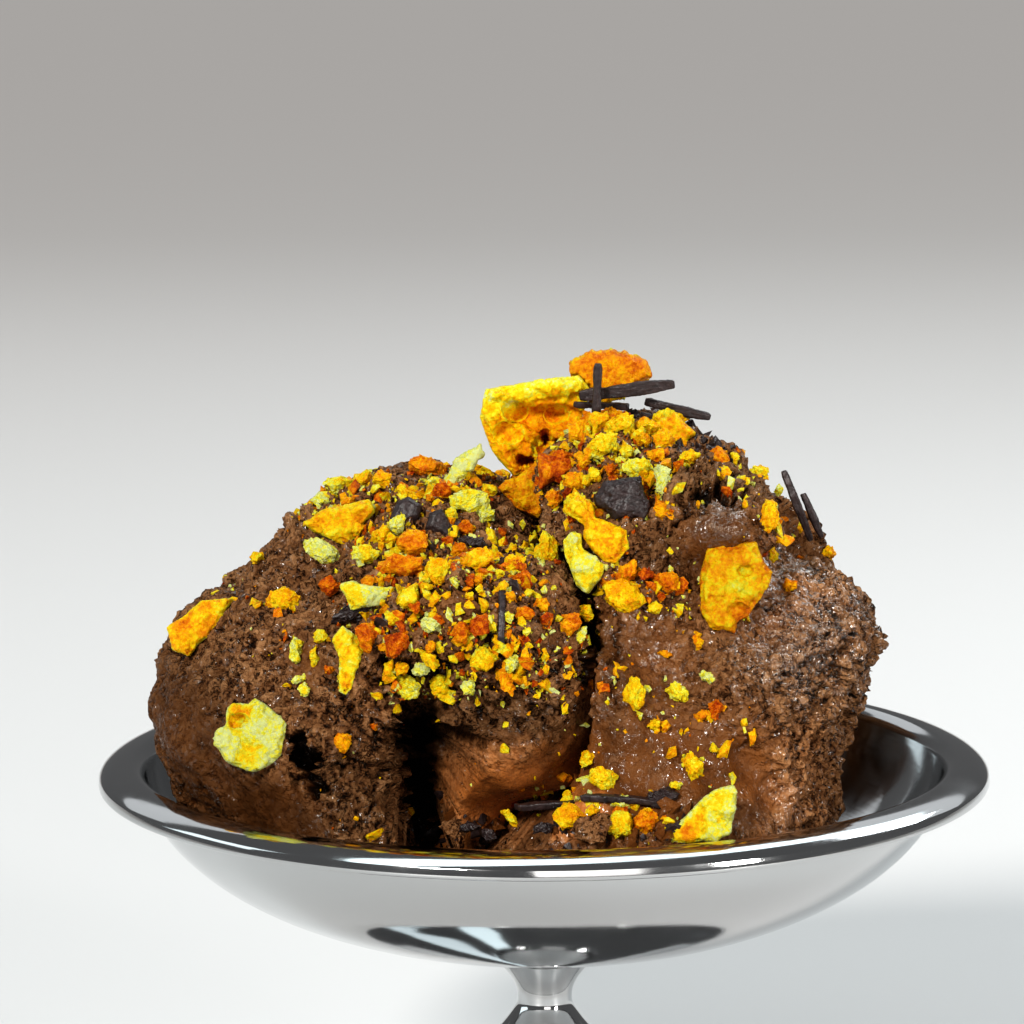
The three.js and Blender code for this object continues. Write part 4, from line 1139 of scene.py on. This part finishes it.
# Painted shade: how much darker some pieces are painted, as if less lit, and, below 0, how much paler, as
# painted light
TOFFEE_PAINTED_SHADE = {
    "honeycomb_right": 0.20,
    "honeycomb_low": 0.12,
    "honeycomb_peak": -0.22,
    "honeycomb_wedge": 0.06,
}
# The peak's face: across, up from its middle, half width, half height, how far it stands out
PEAK_SWELLS = [
    (-4.6, 2.0, 2.2, 2.6, 1.0),
    (-2.4, 4.4, 4.0, 1.5, 1.3),
    (3.6, 5.0, 3.4, 1.5, 1.3),
    (1.4, 1.0, 4.6, 1.6, -2.2),
    (-0.6, -3.2, 2.6, 2.0, -1.0),
]
PEAK_HOLES = [(1.2, -1.4, 0.6, 1.0, 3.6), (-1.1, -4.2, 1.2, 0.7, 3.6), (3.6, -1.8, 1.4, 0.5, 3.2)]
# Painted shade: the holes sunk into the peak's face are coloured near its darkest tone
HOLE_PAINTED_SHADE_TONE = 0.97
# The low piece's outline is drawn in beyond this reach, in millimetres, to this share of the rest
LOW_REACH = 3.9
LOW_SHARE = 0.4


def mound(local, across, up, wide, high):
    """1 in the middle of a round patch on a piece's face, falling to 0 at its edge."""
    near = ((local[:, 0] - across) / wide) ** 2 + ((local[:, 1] - up) / high) ** 2
    return np.clip(1.2 - near, 0, 1) ** 0.8


for node, (finish_slot, face_tone, rim_tone, spots) in TOFFEE_PIECES.items():
    piece = copy_of(node, node + "_broken", TOFFEE_GRAIN, toffee)
    at = rows_of(piece.data.vertices, "co")
    middle, axes = slab_axes(at)
    local = (at - middle) @ axes.T / MM
    facing = rows_of(piece.data.vertex_normals, "vector")
    rim = np.clip(2.2 * (1 - np.abs(facing @ axes[2])) - 0.5, 0, 1)
    tone = np.full(len(at), face_tone)
    for across, up, reach, spot_tone in spots:
        share = np.exp(-((local[:, 0] - across) ** 2 + (local[:, 1] - up) ** 2) / reach**2)
        tone += (spot_tone - tone) * share
    tone += (rim_tone - tone) * rim * 0.85
    if node == "honeycomb_low":
        reach = np.hypot(local[:, 0], local[:, 1])
        drawn_in = np.minimum(reach, LOW_REACH + LOW_SHARE * (reach - LOW_REACH))
        local[:, :2] *= (drawn_in / np.maximum(reach, 0.1))[:, None]
    if node == "honeycomb_peak":
        face = np.clip(local[:, 2] / 1.2, 0, 1)
        stands = sum(far * mound(local, *patch) for *patch, far in PEAK_SWELLS)
        for *patch, far in PEAK_HOLES:
            sunk = mound(local, *patch)
            stands = stands - far * sunk
            # painted shade in the holes
            tone += (HOLE_PAINTED_SHADE_TONE - tone) * sunk * face
        local[:, 2] += stands * face
    if node in ("honeycomb_low", "honeycomb_peak"):
        write_points(piece.data, middle + local @ axes * MM)
    note(piece.data, "tone", tone)
    note(piece.data, "painted_piece_shade", np.full(len(at), TOFFEE_PAINTED_SHADE.get(node, 0)))
    note(piece.data, "rim", rim)
    applied(piece, breaking, {"Finish": toffee})
    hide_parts(node)
    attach(piece, "root")


# ---- The dark chocolate ------------------------------------------------------------------------
# Chips broken from a bar, with flat faces and chipped corners, and shavings scraped off its edge,
# which carry the blade's fine lengthwise lines.

CHOCOLATE_GRAIN = 0.16 * MM
CHOCOLATE_TONES = [(0.4, (0.004, 0.0021, 0.0021)), (0.82, (0.047, 0.028, 0.027))]
# How its break differs from the toffee's, and how much coarser the thick chunk's is
CHOCOLATE_BREAK = {
    "Lump Length": 1.2 * MM,
    "Lump Depth": 0.05 * MM,
    "Ledge Length": 1.7 * MM,
    "Ledge Depth": 0.12 * MM,
    "Bubble Depth": 0.05 * MM,
    "Block Depth": 0.06 * MM,
    "Grain Depth": 0.07 * MM,
}
CHUNK_BREAK = {"Lump Depth": 0.14 * MM, "Ledge Depth": 0.40 * MM, "Block Depth": 0.30 * MM}

chocolate, tree, shader = new_material("dark_chocolate")
place = places(tree)
drawn_out = maths(tree, "MULTIPLY", mark(tree, "along"), 0.12)
lined = put(tree, "ShaderNodeCombineXYZ", {"X": drawn_out, "Y": mark(tree, "aside")}).outputs[0]
scrapes = noise(tree, lined, 0.3 * MM, 3.0, 0.6)
bloom = noise(tree, place, 0.8 * MM, 5.0, 0.7)
shade = maths(tree, "MULTIPLY_ADD", scrapes, 0.5, maths(tree, "MULTIPLY", bloom, 0.7))
chocolate_looks = {
    "Base Color": coloured(tree, shade, CHOCOLATE_TONES),
    "Roughness": 0.34,
    "Specular IOR Level": 0.36,
    "Normal": bumped(tree, shade, 0.2 * MM, 0.7),
}
fill(tree, shader, chocolate_looks)

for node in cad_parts:
    if not node.startswith(("chocolate", "shaving")):
        continue
    piece = copy_of(node, node + "_cut", CHOCOLATE_GRAIN, chocolate)
    at = rows_of(piece.data.vertices, "co")
    middle = at.mean(0)
    spread = np.linalg.eigh(np.cov((at - middle).T))[1]
    along, aside = (at - middle) @ spread[:, 2], (at - middle) @ spread[:, 1]
    note(piece.data, "along", along)
    note(piece.data, "aside", aside)
    if node.startswith("shaving"):
        share = along / np.abs(along).max()
        narrow = 0.24 + 0.06 * np.sin(share * 5 + len(node)) + 0.3 * np.abs(share) ** 6
        write_points(piece.data, at - np.outer(aside * narrow, spread[:, 1]))
    coarse = CHUNK_BREAK if node == "chocolate_chunk" else {}
    applied(piece, breaking, {**CHOCOLATE_BREAK, **coarse, "Finish": chocolate})
    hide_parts(node)
    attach(piece, "root")


# ---- The crumbs --------------------------------------------------------------------------------
# Splinters and crumbs of the same toffee and chocolate, pressed into the mousse where they fell.
# The larger ones lie one by one, the next size in trails, and the dust where they are densest.

# across, up, width, height, spin, tone of the toffee; no tone is dark chocolate, and below 0 mousse
CRUMBS = [
    # on the crown and under the peak
    (15, 89.5, 2.4, 5, 6, 0.02),
    (15, 86, 3, 3, 30, 0.56),
    (27.5, 85, 2.5, 4.6, -12, 0.46),
    (15.5, 97, 5, 3, 8, 0.34),
    (21, 92.5, 4, 3, 16, 0.62),
    (7.5, 94, 4.5, 2.6, 28, 0.26),
    (11.5, 91.5, 4, 2.4, 0, 0.18),
    (4, 89.5, 2.6, 2.6, 30, 0.5),
    (8.6, 96.2, 2.2, 2, 20, 0.36),
    (10.4, 97, 2, 2.4, -20, 0.86),
    (12.4, 94.8, 2.6, 1.8, -10, 0.44),
    (10.4, 93.2, 2, 1.6, 40, 0.3),
    (14, 93, 2.6, 1.6, 10, 0.5),
    (17.6, 92.6, 3.4, 1.8, 14, 0.36),
    (8.6, 91.2, 1.8, 1.6, 0, 0.7),
    (1.6, 87.5, 2.4, 3, 20, 0.62),
    (4.7, 86.5, 3.4, 3.6, -10, 0.3),
    (2.8, 92.6, 2.4, 3, 10, 0.74),
    (5.2, 92.2, 2.2, 1.8, -30, 0.56),
    (9, 96.5, 2, 2, -30, 0.4),
    (26.6, 90.6, 2.6, 2.2, 10, 0.36),
    (27.6, 80.6, 2, 2.2, 0, 0.42),
    (30.3, 76.7, 1.5, 1.6, 20, 0.6),
    (35, 81, 2.6, 1.4, -8, 0.46),
    # in the cleft below it
    (10, 75.5, 5, 4.6, -25, 0.40),
    (15, 77.5, 3, 3, 10, 0.7),
    (12.8, 78.4, 2.2, 1.8, 30, 0.8),
    (1, 81.5, 3, 5, -14, 0.34),
    (-3.5, 79.5, 3.4, 2.2, 8, 0.40),
    (3, 71.5, 2.6, 3.6, -25, 0.62),
    (5, 73.4, 1.6, 2.6, 12, 0.38),
    (4.5, 70.5, 1, 2.5, -18, 0.1),
    # on the left spoonful, from its top down to its torn tongue
    (-9, 87, 5.4, 3.6, 0, 0.14),
    (-7.2, 85.4, 2.4, 2, 30, 0.08),
    (-11.4, 85.6, 2.2, 2, 0, 0.22),
    (-9.6, 84.2, 2.4, 1.6, 10, 0.68),
    (-6.5, 88.8, 2, 1.6, 0, 0.3),
    (-14.5, 91.5, 5, 2.8, -4, 0.64),
    (-19.5, 90, 3, 2.6, 0, 0.5),
    (-22.8, 91.2, 3.6, 1.8, 12, 0.78),
    (-21.5, 90, 2.5, 3, 20, 0.38),
    (-24.5, 89.5, 5, 2.4, 14, 0.24),
    (-27, 87.5, 3, 2, -20, 0.08),
    (-17, 88.4, 2.2, 1.8, -20, 0.34),
    (-27, 81, 5.6, 3.2, -32, 0.06),
    (-35, 80.5, 2.6, 2, -40, 0.34),
    (-16, 82, 4.4, 4, -35, 0.60),
    (-21.5, 81, 4.4, 2.2, -8, 0.16),
    (-19.6, 83.4, 2.6, 2, 30, 0.44),
    (-8, 80, 5.4, 2.8, 4, 0.42),
    (-8.5, 82.2, 4.6, 1.5, -2, None),
    (-17.5, 79, 6.8, 3, -6, 0.68),
    (-13, 78.5, 3.8, 3.6, 40, 0.38),
    (-16, 75.5, 2.8, 3.4, -20, 0.3),
    (-32, 75, 5.2, 2.6, -6, 0.42),
    (-26, 77, 2.6, 2.6, 20, 0.78),
    (-23.5, 73.6, 5.6, 2.4, 24, None),
    (-13.5, 72.5, 3.6, 2.6, -4, 0.02),
    (-10, 71.5, 3, 2.8, 12, 0.66),
    (-8, 72, 3, 3.2, -30, 0.84),
    (-2.8, 77.6, 2, 2, 0, 0.68),
    (-2.4, 73.4, 2.2, 1.8, 12, 0.7),
    (-0.4, 74.4, 1.8, 2.2, -20, 0.56),
    (-5, 76.6, 1.8, 1.6, 20, 0.34),
    (-21.3, 70.6, 3.4, 3.6, 20, 0.72),
    (-18, 70, 3.4, 3.8, -15, 0.88),
    (-7.5, 68, 3.2, 3.2, 10, 0.32),
    (-4.5, 65.5, 1.8, 5.6, 4, 0.58),
    (-19, 66.5, 2, 3.6, -20, 0.44),
    (-17, 64.5, 3, 3, 15, 0.2),
    (-15.2, 66.8, 2, 1.5, 10, 0.0),
    (-12.5, 64.5, 2.6, 2.6, -15, 0.28),
    (-9, 64.4, 1.6, 2, -8, 0.1),
    (-30.5, 69, 1.8, 3.8, 4, 0.16),
    (-28.2, 68, 1, 3, -4, 0.34),
    (-29.5, 64, 1.5, 1.5, 0, 0.16),
    (-25, 57.5, 2.2, 2.4, 20, 0.58),
    # on the right spoonful and at its foot
    (11, 63, 2.5, 5, 2, 0.34),
    (16.5, 63, 2.8, 3.2, 25, 0.2),
    (20.5, 65.4, 2.2, 1.5, -35, 0.08),
    (19.3, 70, 1.3, 2.4, 10, 0.5),
    (13.6, 59.3, 1.7, 1.7, 30, 0.44),
    (15, 68.4, 1.8, 1.1, -30, 0.6),
    (18.5, 54, 2.6, 3.6, 15, 0.38),
    (16.3, 51.8, 1.5, 1.2, 0, 0.3),
    (20.9, 56.5, 1.2, 1.2, 0, 0.3),
    (7.5, 52.5, 3.5, 3, 20, 0.32),
    (5.6, 55.2, 2, 2.2, -20, 0.36),
    (3, 47.5, 3.6, 4, 30, 0.44),
    (9.5, 46.8, 3.6, 4, -35, 0.28),
    (12.6, 47, 3, 2.4, 15, 0.64),
    (-4.2, 47.7, 1.2, 3, 40, 0.34),
    (15, 50, 5, 2.4, 10, None),
    (10.5, 98.0, 4.6, 1.2, 12, None),
    (13.5, 97.0, 3.4, 1.3, -16, None),
    (17, 97.4, 3.6, 1.2, 30, None),
    (-9, 46.6, 3.0, 1.4, 8, None),
    (-6.5, 45.8, 2.4, 1.6, -20, None),
    (0, 46.2, 2.6, 1.5, 16, None),
    (5.8, 46.4, 2.4, 1.8, -30, None),
    (18, 46.2, 2.6, 1.6, 24, None),
    (6.6, 46.6, 5.2, 4.0, 10, -1),
    (-11, 46.4, 3.4, 2.2, -16, -1),
]
# on top of the crest, from above: x, y, width, height, spin, tone
CREST_CRUMBS = [
    (4.6, -8, 3.8, 3.4, 20, 0.52),
    (7.0, -7, 3.4, 4.2, -30, 0.36),
    (9.6, -8, 4.2, 3.2, 14, 0.30),
    (8.4, -3, 3.6, 3.4, 50, 0.66),
    (12.4, -6, 3.6, 3.0, -12, 0.46),
    (5.6, -3, 3.2, 3.6, 10, 0.60),
    (15.4, -4, 3.2, 2.6, 24, 0.34),
]
# from (across, up) to (across, up), half width, how many, largest and smallest
CRUMB_TRAILS = [
    ((-27, 86), (-8, 90), 2.6, 9, (2.4, 1.1)),
    ((-21, 83), (-2, 79), 3.6, 13, (2.4, 1.0)),
    ((-19, 74), (0, 67), 4.4, 15, (2.4, 1.0)),
    ((4, 95), (14, 90), 3.2, 9, (2.6, 1.2)),
    ((8, 77), (17, 77), 3, 6, (2.4, 1.1)),
    ((10, 62), (20, 56), 4.5, 4, (2.2, 1.1)),
    ((1, 52), (14, 48), 2.4, 6, (2.4, 1.1)),
    ((-36, 74), (-27, 65), 4, 3, (2.0, 1.1)),
    ((22, 92), (30, 83), 2.4, 3, (2.4, 1.2)),
]
FAR_TRAILS = [
    ((-24, 10), (22, 20), 7, 11, (4.4, 2)),
    ((-6, 30), (24, 30), 5, 4, (3.4, 2)),
]


# How far above the heap a thing starts to fall, and where the maker's sight starts and ends, in
# millimetres; a thing has landed when it is this near to the mousse
FALL_FROM = 110.0
LONGEST_FALL = 75
SIGHT_FROM = 440
LONGEST_SIGHT = 160
LANDED = 0.02
SHORTEST_STEP = 0.05
STEP_SHARE = 0.4  # less than the whole distance, which is only roughly known
SLOPE_STEP = 0.6
TRAIL_TONES = (0.12, 0.3, 0.38, 0.46, 0.62, 0.78)
STANDS_OUT = 0.30  # how far a crumb's middle stands out of the mousse, as a share of its thickness
TURNED_TO_MAKER = 0.4  # how much a crumb on the front faces the maker and not straight outwards


def draws_from(seed):
    """Repeatable draws between 0 and 1."""
    count = 0
    while True:
        count += 1
        wave = math.sin(seed * 12.9898 + count * 78.233) * 43758.5453
        yield wave - math.floor(wave)


def unit(v):
    return v / np.linalg.norm(v)


def nearest_spoonful(at):
    """The spoonful nearest to a point, and how far outside it the point lies, in millimetres."""
    far = {name: float(outside_spoonful(spoonful, *at)) for name, spoonful in SPOONFULS.items()}
    host = min(far, key=far.get)
    return host, far[host]


def land(start, way, longest):
    """Where a straight line first meets the mousse and its outward direction there, or nothing."""
    at, gone = start.copy(), 0.0
    host, distance = nearest_spoonful(at)
    while distance > LANDED:
        step = max(SHORTEST_STEP, STEP_SHARE * distance)
        at = at + way * step
        gone += step
        if gone >= longest:
            return None
        host, distance = nearest_spoonful(at)
    sides = np.eye(3) * SLOPE_STEP
    slope = outside_spoonful(SPOONFULS[host], *(at + sides).T)
    slope = slope - outside_spoonful(SPOONFULS[host], *(at - sides).T)
    return at, unit(slope)


def land_from_maker(across, up):
    way = unit(np.array((across, 0, up)) - MAKER_EYE)
    return land(MAKER_EYE + way * SIGHT_FROM, way, LONGEST_SIGHT)


def land_from_above(x, y):
    return land(np.array((x, y, FALL_FROM)), np.array((0, 0, -1.0)), LONGEST_FALL)


def lying_axes(facing, spin):
    """Sideways, upwards and outwards of a thing that faces a way and is spun in its own plane."""
    up = np.array(MAKER_UP)
    upwards = unit(up - facing * (up @ facing))
    sideways = np.cross(upwards, facing)
    cosine, sine = math.cos(math.radians(spin)), math.sin(math.radians(spin))
    return np.array((cosine * sideways + sine * upwards, cosine * upwards - sine * sideways, facing))


def lay_crumb(landing, wide, high, spin, seed, tone):
    """A crumb pressed into the mousse where it landed."""
    at, outward = landing
    thick = 0.5 * min(wide, high) + 0.5
    facing = outward
    if at[1] < 0:
        facing = unit(unit(MAKER_EYE - at) * TURNED_TO_MAKER + outward * (1 - TURNED_TO_MAKER))
    return {
        "size": (wide, high, thick),
        "place": at + outward * STANDS_OUT * thick,
        "axes": lying_axes(facing, spin),
        "seed": seed,
        "tone": tone,
    }


def strew_crumbs(trail, index, land_at):
    """The crumbs of a trail, from its largest to its smallest."""
    start, end, half, count, sizes = trail
    draw = draws_from(100 + index)
    crumbs = []
    for i in range(count):
        along = next(draw)
        aside = half * (next(draw) + next(draw) - 1) * 1.6
        across = start[0] + (end[0] - start[0]) * along + 0.5 * aside
        up = start[1] + (end[1] - start[1]) * along + aside
        size = sizes[0] + (sizes[1] - sizes[0]) * math.sqrt(i / count)
        long = 0.75 + 0.5 * next(draw)
        spin = 360 * next(draw)
        tone = TRAIL_TONES[(i * 5 + index) % len(TRAIL_TONES)]
        landing = land_at(across, up)
        if landing is not None:
            crumbs.append(lay_crumb(landing, size * long, size / long, spin, index * 50 + i, tone))
    return crumbs


def splinter(seed):
    """An angular chip about 1 wide, high and thick: its corners and its flat faces."""
    draw = draws_from(seed + 0.25)
    count = 5 + int(3 * next(draw))
    shape = bmesh.new()
    for level, shrink in ((-0.5, 1.0), (0.5, 0.8)):
        lean = (0.16 * (next(draw) - 0.5), 0.16 * (next(draw) - 0.5))
        for i in range(count):
            angle = 2 * math.pi * (i + 0.75 * (next(draw) - 0.5)) / count
            reach = (0.34 + 0.24 * next(draw)) * shrink
            height = level * (0.55 + 0.45 * next(draw))
            shape.verts.new((reach * math.cos(angle) + lean[0], reach * math.sin(angle) + lean[1], height))
    bmesh.ops.convex_hull(shape, input=shape.verts)
    bmesh.ops.delete(shape, geom=[v for v in shape.verts if not v.link_faces], context="VERTS")
    bmesh.ops.recalc_face_normals(shape, faces=shape.faces)
    shape.verts.index_update()
    corners = np.array([tuple(v.co) for v in shape.verts])
    faces = [tuple(v.index for v in face.verts) for face in shape.faces]
    shape.free()
    return corners, faces


laid = []
for table, land_at, first_seed in ((CRUMBS, land_from_maker, 900), (CREST_CRUMBS, land_from_above, 1100)):
    for i, (across, up, wide, high, spin, tone) in enumerate(table):
        landing = land_at(across, up)
        if landing is not None:
            laid.append(lay_crumb(landing, wide, high, spin, first_seed + i, tone))
for i, trail in enumerate(CRUMB_TRAILS + FAR_TRAILS):
    laid += strew_crumbs(trail, i, land_from_maker if i < len(CRUMB_TRAILS) else land_from_above)


# Crumbling: each splinter's faces are divided and made uneven
crumbling, tree_in, tree_out = new_tree("crumbling", {"Lump Length": 1.1 * MM, "Lump Depth": 1.2 * MM})
tree = crumbling
divided = put(tree, "GeometryNodeSubdivideMesh", {"Mesh": tree_in["Geometry"], "Level": 3}).outputs[0]
place = places(tree)


def shoved(geometry, extra, share):
    """Every corner moved by noise whose lumps are the tree's length over `extra` long."""
    inputs = {"Vector": place, "Scale": per_length(tree, tree_in["Lump Length"], extra), "Detail": 2.0}
    lump = put(tree, "ShaderNodeTexNoise", inputs).outputs["Color"]
    amount = maths(tree, "MULTIPLY", tree_in["Lump Depth"], share)
    return moved(tree, geometry, vectors(tree, "SCALE", vectors(tree, "SUBTRACT", lump, MIDDLE), amount))


close_tree(tree, shoved(shoved(divided, 1.0, 1.0), 2.8, 0.55), tree_in, tree_out, smooth=False)

# slot, material, palest tone and the tone below which the next kind starts; dark chocolate has none
CRUMB_KINDS = {
    "crumbs_pale": ("toffee_pale", toffee, 0, 0.2),
    "crumbs_gold": ("toffee_gold", toffee, 0.2, 0.6),
    "crumbs_amber": ("toffee_amber", toffee, 0.6, 1),
    "crumbs_dark": ("dark_chocolate", chocolate, None, None),
    "crumbs_mousse": ("mousse", mousse, -1, 0),
}


def is_kind(tone, palest, next_tone):
    if tone is None or palest is None:
        return tone is palest
    return palest <= tone < next_tone


for name, (finish_slot, material, palest, next_tone) in CRUMB_KINDS.items():
    corners, faces, tones = [], [], []
    for crumb in laid:
        tone = crumb["tone"]
        if not is_kind(tone, palest, next_tone):
            continue
        shape, sides = splinter(crumb["seed"])
        first = len(corners)
        corners += list((crumb["place"] + (shape * crumb["size"]) @ crumb["axes"]) * MM)
        faces += [tuple(first + i for i in side) for side in sides]
        tones += [tone or 0.0] * len(shape)
    piece = new_piece(name, corners, faces, material)
    note(piece.data, "tone", tones)
    if material == mousse:
        note(piece.data, "torn", np.ones(len(corners)))
    applied(piece, crumbling, {"Finish": material})
    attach(piece, "root")

# Strewing: small angular crumbs dropped on the skin where it is marked, each of a size and tone of
# its own, and turned at random
strewing, tree_in, tree_out = new_tree(
    "strewing",
    {
        "Per Area": 3e5,
        "Smallest": 0.35 * MM,
        "Largest": 1.2 * MM,
        "Palest": 0.1,
        "Darkest": 0.5,
        "Seed": 1,
    },
)
tree = strewing


def drawn(kind, low, high, seed):
    """A random value of its own for each crumb."""
    slots = {"FLOAT_VECTOR": (0, 1), "FLOAT": (2, 3)}[kind]
    inputs = {slots[0]: low, slots[1]: high, "Seed": maths(tree, "ADD", tree_in["Seed"], seed)}
    made = put(tree, "FunctionNodeRandomValue", inputs, data_type=kind)
    return made.outputs[0 if kind == "FLOAT_VECTOR" else 1]


density = maths(tree, "MULTIPLY", mark(tree, "strewn"), tree_in["Per Area"])
inputs = {"Mesh": tree_in["Geometry"], "Density": density, "Seed": tree_in["Seed"]}
dropped = put(tree, "GeometryNodeDistributePointsOnFaces", inputs, distribute_method="RANDOM")
ball = put(tree, "GeometryNodeMeshIcoSphere", {"Radius": 0.5, "Subdivisions": 1}).outputs[0]
tumble = put(tree, "FunctionNodeEulerToRotation", {0: drawn("FLOAT_VECTOR", (0, 0, 0), (6.3, 6.3, 6.3), 1)})
share = drawn("FLOAT", 0.0, 1.0, 2)
share = maths(tree, "MULTIPLY", share, maths(tree, "MULTIPLY", share, share))
reach = maths(tree, "SUBTRACT", tree_in["Largest"], tree_in["Smallest"])
crumb_size = maths(tree, "MULTIPLY_ADD", reach, share, tree_in["Smallest"])
inputs = {
    "Points": dropped.outputs["Points"],
    "Instance": ball,
    "Rotation": tumble.outputs[0],
    "Scale": vectors(tree, "SCALE", drawn("FLOAT_VECTOR", (1.0, 0.7, 0.5), (1.5, 1.0, 0.8), 3), crumb_size),
}
crumbs = put(tree, "GeometryNodeInstanceOnPoints", inputs).outputs[0]
crumbs = marked(tree, crumbs, "crumb_size", crumb_size, "INSTANCE")
own_tone = drawn("FLOAT", tree_in["Palest"], tree_in["Darkest"], 4)
crumbs = marked(tree, crumbs, "tone", own_tone, "INSTANCE")
crumbs = put(tree, "GeometryNodeRealizeInstances", {"Geometry": crumbs}).outputs[0]
chipped = put(tree, "ShaderNodeTexWhiteNoise", {"Vector": places(tree)}, noise_dimensions="3D")
chipped = vectors(tree, "SUBTRACT", chipped.outputs["Color"], MIDDLE)
far = maths(tree, "MULTIPLY", mark(tree, "crumb_size"), 0.45)
crumbs = moved(tree, crumbs, vectors(tree, "SCALE", chipped, far))
close_tree(tree, crumbs, tree_in, tree_out, smooth=False)

# from (across, up) to (across, up), half width, how thickly strewn
TOFFEE_DUST = [
    ((-27, 86), (-8, 90), 2.6, 0.9),
    ((-21, 82), (-2, 79), 3.4, 1.0),
    ((-19, 75), (0, 68), 4.2, 0.9),
    ((4, 95), (14, 90), 3.2, 1.0),
    ((0, 91), (8, 84), 2.6, 0.8),
    ((8, 77), (17, 76), 3.0, 0.6),
    ((-18, 65), (-5, 66), 2.6, 0.35),
    ((10, 62), (20, 56), 5, 0.20),
    ((1, 50), (14, 48), 2.4, 0.5),
    ((-38, 78), (-27, 66), 3.6, 0.10),
    ((22, 92), (30, 83), 2.2, 0.30),
    ((-24, 40), (30, 92), 30, 0.012),
]
CHOCOLATE_DUST = [
    ((-14, 45.8), (20, 46.0), 1.5, 1.0),
    ((10, 98), (22, 94), 2.0, 0.6),
    ((-12, 84), (-4, 80), 1.8, 0.4),
    ((-24, 74), (-20, 73), 1.6, 0.4),
]
DUST_KINDS = {
    # slot, material, where, per square metre, smallest and largest (mm), palest and darkest tone
    "dust_pale": ("toffee_pale", toffee, TOFFEE_DUST, 5.0e5, (0.3, 1.5), (0.0, 0.22)),
    "dust_gold": ("toffee_gold", toffee, TOFFEE_DUST, 7.5e5, (0.3, 2.0), (0.22, 0.55)),
    "dust_amber": ("toffee_amber", toffee, TOFFEE_DUST, 4.0e5, (0.3, 1.9), (0.58, 0.92)),
    "dust_dark": ("dark_chocolate", chocolate, CHOCOLATE_DUST, 1.4e6, (0.4, 2.0), (0.0, 0.0)),
    "dust_mousse": ("mousse", mousse, CHOCOLATE_DUST[:1], 8.0e5, (0.5, 2.6), (0.0, 0.0)),
}
ground_corners, ground_faces = [], []
for name in SPOONFULS:
    skin = bpy.data.objects[name + "_torn"].data
    first = sum(len(part) for part in ground_corners)
    ground_corners.append(rows_of(skin.vertices, "co"))
    indices = np.zeros(len(skin.loops), np.int32)
    skin.loops.foreach_get("vertex_index", indices)
    ground_faces.append(indices.reshape(-1, 4) + first)
ground_corners = np.concatenate(ground_corners)
ground_faces = np.concatenate(ground_faces)
ground_across, ground_up = seen_from_front(ground_corners / MM)
a, b, c, d = (ground_corners[ground_faces[:, i]] for i in range(4))
faces_maker = (np.cross(c - a, d - b) * (MAKER_EYE * MM - a)).sum(1) > 0
for seed, (name, kind) in enumerate(DUST_KINDS.items(), 1):
    finish_slot, material, trails, per_area, (smallest, largest), (palest, darkest) = kind
    thick = np.zeros(len(ground_corners))
    for start, end, half, amount in trails:
        away = line_distance(ground_across, ground_up, start, end)
        thick = np.maximum(thick, amount * np.exp(-((away / half) ** 2)))
    kept = faces_maker & (thick[ground_faces].max(1) > 0.01)
    used, renumbered = np.unique(ground_faces[kept], return_inverse=True)
    piece = new_piece(name, ground_corners[used], renumbered.reshape(-1, 4).tolist(), material)
    note(piece.data, "strewn", thick[used])
    values = {
        "Per Area": per_area,
        "Smallest": smallest * MM,
        "Largest": largest * MM,
        "Palest": palest,
        "Darkest": darkest,
        "Seed": seed,
        "Finish": material,
    }
    applied(piece, strewing, values)
    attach(piece, "root")


# ---- The end -----------------------------------------------------------------------------------

size = {"cad": [list(corner) for corner in cad_box], "visual": [list(corner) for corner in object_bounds()]}
